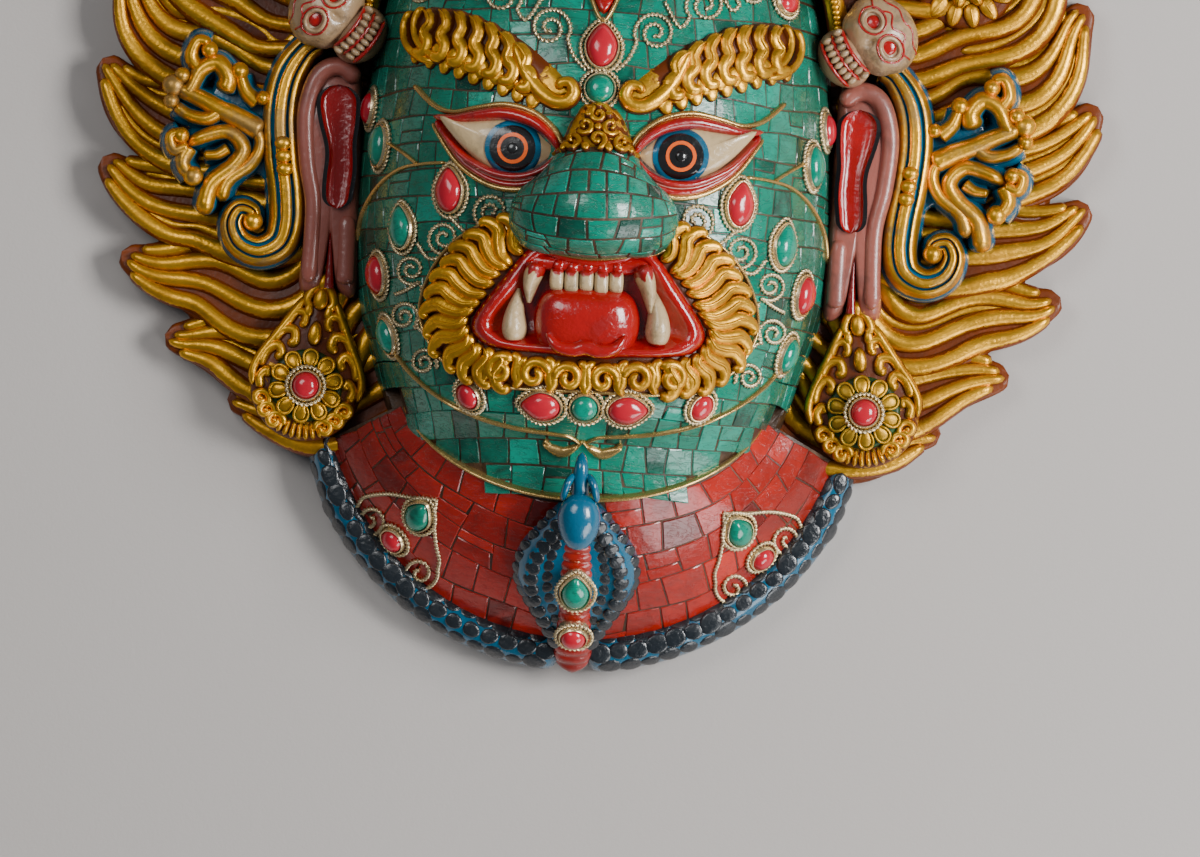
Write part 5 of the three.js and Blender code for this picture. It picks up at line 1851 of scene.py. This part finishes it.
def lid_bands(form, wires, side):
    """Red bands above and below the eye, and the wires that bound them."""
    upper = [(12.4, 20.6), (16.5, 26.2), (23, 30.8), (32, 32.8), (41, 31.6), (49, 30), (56.5, 30.8)]
    ridge(form, head_line(upper, side, 60, 1.2), lambda s: 1.0 + 1.5 * np.sin(math.pi * s) ** 0.6, 3.8,
          sink=3, sides=10, start=0.06, end=0.1)
    for step, wide, high in ((0, 1.5, 4.2), (2.7, 1.35, 2.8)):
        lower = [(12.8, 19.4), (18, 14.2 - step * 0.8), (25, 11.4 - step), (33, 11.6 - step),
                 (40.5, 14.6 - step * 0.9), (47, 19.2 - step * 0.7), (55.4, 29.8 - step * 0.2)]
        ridge(form, head_line(lower, side, 60, 0.7), wide, high, sink=3, sides=9, start=0.06, end=0.08)
    groove = [(13.4, 18.4), (18, 12.8), (25, 10), (33, 10.2), (40.8, 13.2), (47.5, 18.2), (55, 28.8)]
    ridge(form, head_line(groove, side, 60, 2.2), 0.35, 0.9, sink=1, sides=6, paint=1)
    at, _ = on_head([(side * 13.2, 20)], 2.4)
    ball(form, at[0], (1.6, 1.8, 1.4), rings=8, spokes=12)
    over = [(11, 20.8), (15.2, 28.2), (22.6, 33.8), (32.4, 36), (42, 34.4), (50, 32.6), (57, 34.8),
            (64.5, 41.8)]
    under = [(11.2, 18.8), (17, 10.6), (25, 6.9), (34, 7.2), (42, 10.6), (49.4, 17), (57.2, 28.8)]
    for places in (over, under):
        ridge(wires, head_line(places, side, 70, 0.6), lambda s: 1.35 - 0.45 * s, 1.8, sink=1.5, sides=8,
              start=0.04, end=0.04)


class GUARDIAN_OT_eyes(Operator):
    """Build the painted eyes, their red lids and gilt outlines"""

    bl_idname = "guardian.eyes"
    bl_label = "Eyes"

    def execute(self, context):
        balls = Form()
        lids = Form()
        wires = Form()
        for _, side in SIDES:
            eyeball(balls, side)
            lid_bands(lids, wires, side)
        finishes = ["eye_white", "blue_paint", "black_paint", "orange_paint"]
        balls.finish("eyes", finishes, "bone_paint", smooth=70)
        lids.finish("eyelids", ["red_gloss", "lid_line"], "red_paint")
        wires.finish("eye_wires", ["gilt_wire"], "setting_wire")
        return {"FINISHED"}


# ---- Mouth and beard ----
# middle and height of each cutting tooth
TEETH = [(-11.7, 8), (-6.6, 8.8), (-1.4, 7.8), (3.8, 8.8), (8.9, 7.8)]
# root, tip, half width and bow of each fang
FANGS = [
    ((-18.4, -18.2), (-21.2, -32.5), 3.4, -1),
    ((17.2, -17.4), (21.4, -34.3), 3.4, 1),
    ((-25.4, -47), (-24.8, -27.6), 4.2, -0.8),
    ((24.2, -46.2), (21.8, -25.4), 4.2, 1.2),
]
# share of a fang's width along its length
UPPER_SWELL = [(0, 0.88), (0.2, 1), (0.6, 0.7), (1, 0.14)]
LOWER_SWELL = [(0, 0.45), (0.14, 0.86), (0.3, 1), (0.62, 0.7), (1, 0.12)]


def mouth_level(places, lift):
    """Places on a smooth level just in front of the teeth, and their outward directions."""
    places = np.asarray(places, float)
    z = 86.2 - 0.0042 * places[:, 0] ** 2 - 0.003 * (places[:, 1] + 33) ** 2 + lift
    out = unit(np.stack([0.0084 * places[:, 0], 0.006 * (places[:, 1] + 33), np.ones(len(places))], axis=1))
    return np.column_stack([places, z]), out


def flesh(form):
    """Lips that slope down into the floor of the mouth, the gums and the curled tongue."""
    middle = np.array([0, -33.5])
    count = 150
    ring = spline(np.array(LIP_OUTLINE, float), count, closed=True)
    inward = unit(middle - ring)
    wide = 0.62 + 0.5 * np.clip((np.abs(ring[:, 0]) - 12) / 26, 0, 1) + 0.12 * (ring[:, 1] < -46)
    # Inset, height and relief of each ring of the lips; the relief falls toward the floor of the mouth, so
    # the paint's painted hollow shade darkens the inside of the mouth.
    steps = [(0, -5, 0), (0.1, 0.8, 0.5), (1.2, 3.4, 1), (3, 4.6, 1), (4.6, 4.2, 1), (6, 2.6, 0.8),
             (8, 0.2, 0.6), (11, -2, 0.4), (14.5, -3.4, 0.3)]
    rings = []
    marks = []
    for step, lift, mark in steps:
        level, _ = mouth_level(ring + inward * (step * wide)[:, None], lift)
        rings.append(level)
        marks.append(mark)
    flat = ring + inward * (14.5 * wide)[:, None]
    for share in (0.6, 0.3):
        level, _ = mouth_level(middle + (flat - middle) * share, -4.2)
        rings.append(level)
        marks.append(0.25)
    points = np.vstack([*rings, [[*middle, 82]]])
    points[:, 2] = np.maximum(points[:, 2], MOUTH_WALL + 0.8)
    points[:count, 2] -= 4
    form.cushion(points, count, relief=np.append(np.repeat(marks, count), 0.25))
    gum = spline([(-23, -17.5), (-12, -18.4), (0, -19.2), (12, -18.4), (22, -17)], 60)
    ridge(form, mouth_level(gum, 0), 3, 3.2, sink=4, sides=10, start=0.05, end=0.05)
    for k, (x, _) in enumerate(TEETH):
        at, out = mouth_level([(x + 0.3, -18.8 - 0.7 * (k % 2))], 1.9)
        ball(form, at[0], (2.6, 2.3, 1.9), turn=basis(out[0], (0, 1, 0)), rings=6, spokes=12)
    outline = spline([(-8, 10.5), (-15, 8.5), (-18.2, 2), (-18.2, -6), (-14.6, -12.6), (-7, -14.8),
                      (0, -14), (7, -15), (14.6, -12.6), (18.2, -5), (17.8, 3), (14.6, 8.5), (8, 10.5)], 90,
                     closed=True)
    dome(form, (-0.6, -36.6, 83.2), basis((0, -0.16, 1), (0, 1, 0)), outline, 10.2, sink=5, steps=14,
         round_off=0.62, relief=0.9)
    curl = [(-14.6, -42.5), (-10.6, -46.8), (-5, -47.9), (-0.6, -46.9), (4, -48), (9.6, -46.8), (13.4, -42)]
    ridge(form, mouth_level(spline(curl, 50), 5.4), lambda s: 1.6 + 1.2 * np.sin(math.pi * s), 3.2, sink=3,
          sides=12, start=0.2, end=0.2)


def teeth(form):
    """Five cutting teeth and four fangs."""
    for k, (x, tall) in enumerate(TEETH):
        at, out = mouth_level([(x, -23.8 - 0.5 * (k in (1, 3)))], 1.2)
        flat = spline([(-2.2, -tall * 0.4), (-1, -tall / 2), (1.2, -tall / 2), (2.3, -tall * 0.42),
                       (2.6, 0), (2.3, tall * 0.4), (1.4, tall / 2), (-1.4, tall / 2), (-2.3, tall * 0.4),
                       (-2.6, 0)], 28, closed=True)
        ragged = np.sin(flat[:, 0] * 2.3 + k * 2)
        level = np.clip(tall * 0.42 - flat[:, 1] + ragged * 0.7, 0.1, 1)
        dome(form, at[0], basis(out[0], (0, 1, 0)), flat, 3, sink=3, steps=5, round_off=0.5,
             relief=np.concatenate([np.tile(level, 6), [1]]))
    for root, tip, wide, bow in FANGS:
        root = np.array(root)
        tip = np.array(tip)
        line = spline([root, root + (tip - root) * 0.5 + [bow, 0], tip], 30)
        is_upper = tip[1] < root[1]
        swell = UPPER_SWELL if is_upper else LOWER_SWELL

        def marks(s, q):
            gum = (0.26 + 0.07 * np.sin(q * 7 + root[0])) if is_upper else 0.05
            stroke = np.exp(-((np.abs(q) - 0.28) / 0.09) ** 2) * (s < 0.55) * (s > gum)
            return np.clip((s - gum) / 0.06, 0, 1) * (1 - 0.7 * stroke * is_upper)

        blunt = rounding(30, 0.12, 0)
        ribbon(form, mouth_level(line, 2.2 if is_upper else 0.8), lambda s: wide * along(swell, s) * blunt,
               lambda s, q: 5.6 * along(swell, s) * blunt[:, None] * round_back(q), sink=3 * blunt,
               across=19, marks=marks)


def beard(gold):
    """Band of leafy tufts round the mouth, with volutes along the chin."""
    side_line = [(25, -8.2), (35, -12), (43.5, -21.5), (49, -34), (46.8, -46), (38, -53.2), (22, -56),
                 (0, -57)]
    whole = mirrored(side_line[:-1], -1) + side_line[::-1]
    # The band under the tufts keeps low relief, so between the tufts it shows the ground darkened by the
    # leaf's painted hollow shade, for the dark creases.
    ribbon(gold, on_head(spline(whole, 150), -0.2), lambda s: 6.9 * rounding(150, 0.02, 0.02),
           lambda s, q: 2.2 * (1 - np.abs(q) ** 3), sink=3, across=13, marks=lambda s, q: 0.12 + 0 * s * q)
    lips = spline(np.array(LIP_OUTLINE, float) * [1.06, 1.06] + [0, 1.9], 120, closed=True)
    # The ring round the lips keeps low relief too, so it shows the ground with the leaf's painted hollow
    # shade.
    ridge(gold, on_head(lips, -0.4), 4.4, 1.4, sink=3, sides=8, closed=True,
          marks=lambda s, q: 0.1 + 0 * s * q)
    steps = np.linspace(0, 1, 200)
    for _, side in SIDES:
        spine = spline(mirrored(side_line, side), 200)
        run = headings(spine)
        away = np.stack([-run[:, 1], run[:, 0]], axis=1) * side
        for number, share in enumerate(np.linspace(0.02, 0.7, 14)):
            k = int(np.searchsorted(steps, share))
            centre, out, down = spine[k], away[k], run[k]
            long = 0.6 * (number % 2)
            tries = np.arange(4, 20, 0.5)
            near = [a for a in tries if inside_outline(*(centre - out * a), LIP_OUTLINE)]
            root = -(min(near) if near else 7) + 1.0
            bends = [(root, -1.2), (root * 0.6, 1), (root * 0.15, 0.4), (2.2, -1), (5.0 + long, 0.4),
                     (6.3 + long, 2.8), (4.6 + long, 4.4)]
            leaf = spline([centre + out * a + down * b for a, b in bends], 34)
            ridge(gold, on_head(leaf, 1), lambda s: 1.9 + 1.35 * np.sin(math.pi * np.clip(s * 1.05, 0, 1)),
                  3.3, sink=3, sides=11, start=0.12, end=0.1)
            vein = spline([centre + out * a + down * b for a, b in bends[:5]], 20)
            ridge(gold, on_head(vein, 3.4), 0.7, 1.5, sink=2, sides=6, start=0.3, end=0.3)
        for x, v, r, start, hand in ((29, -55.8, 5, 150, -1), (17.5, -56.8, 5, 190, -1),
                                     (6, -57.6, 4.8, -20, 1)):
            coil = spiral((side * x, v), r, start if side > 0 else 180 - start, 1.3 * hand * side, 36)
            ridge(gold, on_head(coil, 1.2), lambda s: 2.3 - 0.6 * s, 3.4, sink=3, sides=10, start=0.08,
                  end=0.1)
            for step, rise in ((-5.6, 3.6), (5.4, 2.2)):
                leaf = [(x + step * 0.5, v + 5.6), (x + step, v + rise), (x + step * 0.9, v - 1.6),
                        (x + step * 1.3, v - 5.2)]
                ridge(gold, head_line(leaf, side, 18, 1), lambda s: 1.5 + 0.8 * np.sin(math.pi * s), 2.9,
                      sink=3, sides=9, start=0.15, end=0.15)


class GUARDIAN_OT_mouth(Operator):
    """Build the lips, gums, teeth, tongue and the gilt beard ring"""

    bl_idname = "guardian.mouth"
    bl_label = "Mouth and beard"

    def execute(self, context):
        red = Form()
        flesh(red)
        red.finish("lips_and_tongue", ["red_gloss"], "red_paint", smooth=70)
        bone = Form()
        teeth(bone)
        bone.finish("teeth", ["bone_paint"], "bone_paint", smooth=70)
        gold = Form()
        beard(gold)
        gold.finish("beard_ring", ["carved_leaf"], "gold_leaf")
        rim = Form()
        outer = BEARD_OUTLINE + mirrored(BEARD_OUTLINE[:-1], -1)[::-1]
        outer = [(x * 1.02, (v + 33) * 1.02 - 33) for x, v in outer]
        ridge(rim, on_head(spline(outer, 140), 0.7), 0.75, 1.5, sink=1.5, sides=8)
        nose_foot = [(-31, -6), (-24, -12.5), (-12, -15), (0, -16.2), (12, -15), (24, -12.5), (31, -6)]
        ridge(rim, mouth_level(spline(nose_foot, 50), 3.6), 0.8, 1.2, sink=3, sides=8)
        rim.finish("beard_wires", ["gilt_wire"], "setting_wire")
        return {"FINISHED"}


# ---- Stones and their settings ----
# name, colour, outline, length, width, x, v and turn in degrees; x is mirrored for the pairs
MIDDLE_STONES = [
    ("coral_forehead", "coral", "drop", 15, 10.5, 0, 58, 0),
    ("turquoise_between_brows", "turquoise", "round", 9.5, 9.5, 0, BROW_STONE_V, 0),
    ("turquoise_chin", "turquoise", "round", 9, 9, 0, -67.5, 0),
]
PAIRED_STONES = [
    ("coral_temple", "coral", "oval", 11, 8, 79, 33, 4),
    ("turquoise_temple", "turquoise", "oval", 14, 9.5, 75, 20, 0),
    ("coral_under_eye", "coral", "drop", 15, 10, 50, 5.5, -6),
    ("turquoise_cheek", "turquoise", "drop", 14.5, 10, 66, -8, -14),
    ("coral_cheek", "coral", "oval", 13, 10, 73.5, -25, -16),
    ("turquoise_jaw", "turquoise", "oval", 12, 9, 69, -46, -42),
    ("coral_jaw", "coral", "oval", 9, 7.5, 40, -65.5, -30),
    ("coral_chin", "coral", "drop", 13.5, 10, 15, -67.5, -90),
    ("coral_brow_end", "coral", "oval", 10, 8, 63, 77, -60),
]
BEZEL_LIFT = 1.2
DOME_SHARE = 0.36


def stone_outline(kind, length, width, grow=0, count=36):
    """Outline of a stone: round, oval or a drop with its point ahead."""
    angle = np.linspace(math.pi / 2, math.pi / 2 + TAU, count, endpoint=False)
    pinch = 1 - 0.42 * np.clip(np.sin(angle), 0, 1) ** 1.5 * (kind == "drop")
    return np.stack([(width / 2 + grow) * np.cos(angle) * pinch, (length / 2 + grow) * np.sin(angle)],
                    axis=1)


def stone_seats():
    """Every stone: name, colour, outline kind, length, width, place, frame and the depth of its setting."""
    seats = []

    def seat(name, colour_name, kind, length, width, at, out, turn, depth=4):
        angle = math.radians(turn)
        frame_of = basis(out, (-math.sin(angle), math.cos(angle), 0))
        seats.append((name, colour_name, kind, length, width, np.array(at, float), frame_of, depth))

    def seat_on_head(name, row, side):
        at, out = on_head([(side * row[5], row[6])])
        seat(name, *row[1:5], at[0], out[0], side * row[7])

    for row in MIDDLE_STONES:
        seat_on_head(row[0], row, 1)
    for row in PAIRED_STONES:
        for word, side in SIDES:
            seat_on_head(f"{row[0]}_{word}", row, side)
    for word, side in SIDES:
        for name, colour_name, kind, length, width, spread, t, turn in (
            ("turquoise_collar", "turquoise", "drop", 12.5, 9, 43.5, 0.52, 40),
            ("coral_collar", "coral", "round", 8, 8, 46, 0.83, 0),
        ):
            angle = math.radians(270 + side * spread)
            seat(f"{name}_{word}", colour_name, kind, length, width, collar_surface(angle, t),
                 collar_normal(angle, t), side * turn)
        top = PENDANT["base"] + PENDANT["rise"] + 3
        seat(f"coral_pendant_{word}", "coral", "round", 9, 9, (side * PENDANT["x"], PENDANT["v"], top),
             (0, 0, 1), 0)
    middle = math.radians(270)
    for name, colour_name, kind, length, width, t, depth in (
        ("turquoise_cobra", "turquoise", "drop", 14, 9.5, 0.47, 6),
        ("coral_cobra", "coral", "round", 8.5, 8.5, 0.77, 7),
    ):
        out = collar_normal(middle, t)
        seat(name, colour_name, kind, length, width, collar_surface(middle, t) + out * (12.5 - 2.5 * t),
             out, 0, depth)
    return seats


class GUARDIAN_OT_stones(Operator):
    """Set the coral and turquoise stones in their bezels"""

    bl_idname = "guardian.stones"
    bl_label = "Stones"

    def execute(self, context):
        rng = random.Random(sizes().seed + 20)
        bezels = Form()
        for name, colour_name, kind, length, width, at, turn, depth in stone_seats():
            stone = Form()
            rise = min(length, width) * DOME_SHARE + 0.4
            dome(stone, at + turn[:, 2] * BEZEL_LIFT, turn, stone_outline(kind, length, width, 0.1, 44),
                 rise, sink=0.7, steps=9, round_off=0.8, tone=rng.uniform(0.35, 0.65))
            stone.finish(f"{name}_stone", [f"polished_{colour_name}"], colour_name, [name], smooth=75)
            dome(bezels, at, turn, stone_outline(kind, length, width, 0.3), BEZEL_LIFT - 0.4, sink=depth,
                 steps=2)
            rim = stone_outline(kind, length, width, 0.55, 48)
            lower = np.column_stack([rim, np.zeros(48)]) @ turn.T + at
            ridge(bezels, (lower, np.tile(turn[:, 2], (48, 1))), 0.62, 2.5, sink=depth, sides=8,
                  closed=True)
        bezels.finish("bezels", ["silver_bezel"], "setting_wire")
        return {"FINISHED"}


# ---- Wires ----
# coils of twisted wire on the right half of the face: middle (x, v), radius, start in degrees, turns, tail
FACE_COILS = [
    ((35.5, -1.2), 6.3, -60, 1.9, [(50, -3.5), (43.5, -9)]),
    ((51.4, -11), 6, 250, 1.8, [(60.5, -13.5), (56, -18.6)]),
    ((62.2, -22.5), 5.4, 235, 1.8, [(67.5, -31.5), (64, -30)]),
    ((64, -39), 5.4, 220, -1.8, [(58.5, -28), (58, -33.5)]),
    ((56.3, -54.6), 5, 200, -1.8, [(59, -42.5), (53.5, -48)]),
    ((18.3, 63.5), 7.4, -150, -1.9, [(5.2, 49.5), (9.5, 54)]),
    ((35.4, 74), 7.2, 220, -1.9, [(21, 74.5), (26.5, 66)]),
    ((51, 79.5), 6.2, 230, -1.8, [(38, 83), (44, 73)]),
    ((8.5, 100.5), 5.2, 20, 1.6, [(14.5, 88), (14.6, 95)]),
]
COLLAR_COILS = [
    ((72.8, -110.6), 6.6, 45, -1.85, [(50, -102.4), (58, -102.2), (67, -101.2), (75, -102.6)]),
    ((54.8, -128.2), 6.6, 165, 1.8, [(50, -102.4), (50.4, -110), (49.4, -118), (48, -123.5)]),
]
# smooth gilt wires as (x, v) places on the right half of the head
PLAIN_WIRES = [
    [(0, -80.5), (5, -77.6), (12, -76.8), (24, -75.5), (38, -72), (52, -65.5), (64, -55), (73, -40)],
    [(0, -79), (4.5, -83.5), (10, -82), (13.5, -79.2)],
    [(52, 15), (60, 14.2), (68, 12), (75, 6), (80, -3), (82, -14)],
    [(62, 14.2), (68, 18.5), (73, 21.5)],
]


class GUARDIAN_OT_wires(Operator):
    """Lay the twisted filigree and the smooth gilt wires"""

    bl_idname = "guardian.wires"
    bl_label = "Wires"

    def execute(self, context):
        radius = sizes().wire / MM
        paths = []
        for _, _, kind, length, width, at, turn, _ in stone_seats():
            ring = stone_outline(kind, length, width, 1.25 + radius, 44)
            flat = np.column_stack([ring, np.full(44, radius * 0.8)])
            paths.append(np.vstack([flat, flat[:1]]) @ turn.T + at)
        for side in (-1, 1):
            for coils, count, lay in ((FACE_COILS, 40, on_head), (COLLAR_COILS, 36, on_collar)):
                for middle, size, start, turns, tail in coils:
                    coil = spiral(middle, size, start, turns, count, core=0.14)
                    route = spline(mirrored([*tail, *coil.tolist()], side), 90)
                    paths.append(lay(route, radius * 0.8)[0])
        twisted_wires("filigree", paths)
        plain = Form()
        for side in (-1, 1):
            for places in PLAIN_WIRES:
                ridge(plain, head_line(places, side, 60, 0.5), 0.65, 1.3, sink=1.5, sides=8, start=0.02,
                      end=0.02)
            crescent = spline(mirrored([(1.5, -80.5), (7, -83.5), (14, -80.5)], side), 24)
            ridge(plain, on_head(crescent, 0.5), lambda s: 0.5 + 1.7 * np.sin(math.pi * s), 1.8, sink=1.5,
                  sides=10, start=0.1, end=0.1)
        neck = np.radians(np.linspace(COLLAR["from"] + 1, COLLAR["to"] - 1, 120))
        route = (collar_surface(neck, 0) + [0, 0, 1], collar_normal(neck, 0.02))
        ridge(plain, route, 0.8, 1.6, sink=2.5, sides=8, start=0.01, end=0.01)
        plain.finish("plain_wires", ["gilt_wire"], "setting_wire")
        return {"FINISHED"}


# ---- Stage ----
FLOOR_REACH = 4.0
SKY_STRENGTH = 0.145
LIT_SPOT = (0, -0.04, 0.04)
# name, direction it comes from, distance and sides in metres, power in watts
LIGHTS = [
    ("key_light", (1, 0.12, 0.95), 1.5, 0.7, 0.5, 34),
    ("low_light", (0.6, -0.72, 0.34), 1.35, 0.8, 0.5, 9),
    ("fill_light", (-0.8, 0.6, 1.5), 1.8, 0.8, 0.8, 11),
]
LENS = 700  # long, so that the mask is seen almost without perspective
CAMERA_PLACE = (0.0058, -0.106, 8.21)
CAMERA_TURN = 2.8


def soft_light(name, direction, distance, wide, tall, power):
    """Rectangular light that looks at the mask from that direction."""
    lamp = bpy.data.lights.new(name, "AREA")
    lamp.shape = "RECTANGLE"
    lamp.size = wide
    lamp.size_y = tall
    lamp.energy = power
    holder = linked(name, lamp)
    way = Vector(direction).normalized()
    holder.location = Vector(LIT_SPOT) + way * distance
    holder.rotation_euler = way.to_track_quat("Z", "Y").to_euler()


class GUARDIAN_OT_stage(Operator):
    """Set the backdrop, the soft lights and the camera above the lying mask"""

    bl_idname = "guardian.stage"
    bl_label = "Stage"

    def execute(self, context):
        scene = context.scene
        mesh = bpy.data.meshes.new("backdrop")
        corners = ((-1, -1), (1, -1), (1, 1), (-1, 1))
        mesh.from_pydata([(FLOOR_REACH * x, FLOOR_REACH * y, 0) for x, y in corners], [], [(0, 1, 2, 3)])
        mesh.materials.append(material("backdrop"))
        linked("backdrop", mesh)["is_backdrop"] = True
        world = bpy.data.worlds.new("studio")
        world.use_nodes = True
        sky = world.node_tree.nodes["Background"].inputs
        sky["Color"].default_value = (0.8, 0.88, 1, 1)
        sky["Strength"].default_value = SKY_STRENGTH
        scene.world = world
        for name, direction, distance, wide, tall, power in LIGHTS:
            soft_light(name, direction, distance, wide, tall, power)
        camera = bpy.data.cameras.new("camera")
        camera.lens = LENS
        holder = linked("camera", camera)
        holder.location = CAMERA_PLACE
        holder.rotation_euler = (0, 0, math.radians(CAMERA_TURN))
        scene.camera = holder
        return {"FINISHED"}


# ---- Panel and registration ----
STEPS = ("casting", "face", "collar", "snakes", "flames", "crown", "ears", "pendants", "brows", "eyes",
         "mouth", "stones", "wires", "stage")


class GUARDIAN_PT_panel(Panel):
    """Sizes, colours and the steps that build the mask"""

    bl_label = "Guardian Mask"
    bl_idname = "GUARDIAN_PT_panel"
    bl_space_type = "VIEW_3D"
    bl_region_type = "UI"
    bl_category = "Mask"

    def draw(self, context):
        scene = context.scene
        for group in (scene.mask_sizes, scene.mask_colours):
            column = self.layout.column()
            for name in group.bl_rna.properties.keys():
                if name not in ("rna_type", "name"):
                    column.prop(group, name)
        for step in STEPS:
            self.layout.operator(f"guardian.{step}")


CLASSES = (
    MaskSizes, MaskColours, GUARDIAN_OT_casting, GUARDIAN_OT_face, GUARDIAN_OT_collar, GUARDIAN_OT_snakes,
    GUARDIAN_OT_flames, GUARDIAN_OT_crown, GUARDIAN_OT_ears, GUARDIAN_OT_pendants, GUARDIAN_OT_brows,
    GUARDIAN_OT_eyes, GUARDIAN_OT_mouth, GUARDIAN_OT_stones, GUARDIAN_OT_wires, GUARDIAN_OT_stage,
    GUARDIAN_PT_panel,
)


def register():
    """Adds the classes and the scene's settings."""
    for item in CLASSES:
        bpy.utils.register_class(item)
    bpy.types.Scene.mask_sizes = PointerProperty(type=MaskSizes)
    bpy.types.Scene.mask_colours = PointerProperty(type=MaskColours)


def unregister():
    """Takes them away again."""
    del bpy.types.Scene.mask_colours
    del bpy.types.Scene.mask_sizes
    for item in reversed(CLASSES):
        bpy.utils.unregister_class(item)


def main():
    """Builds everything in order."""
    register()
    for step in STEPS:
        getattr(bpy.ops.guardian, step)()
    boxes = {"cad": CAD_BOX, "visual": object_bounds()}
    {name: [list(corner) for corner in box] for name, box in boxes.items()}


if __name__ == "__main__":
    main()
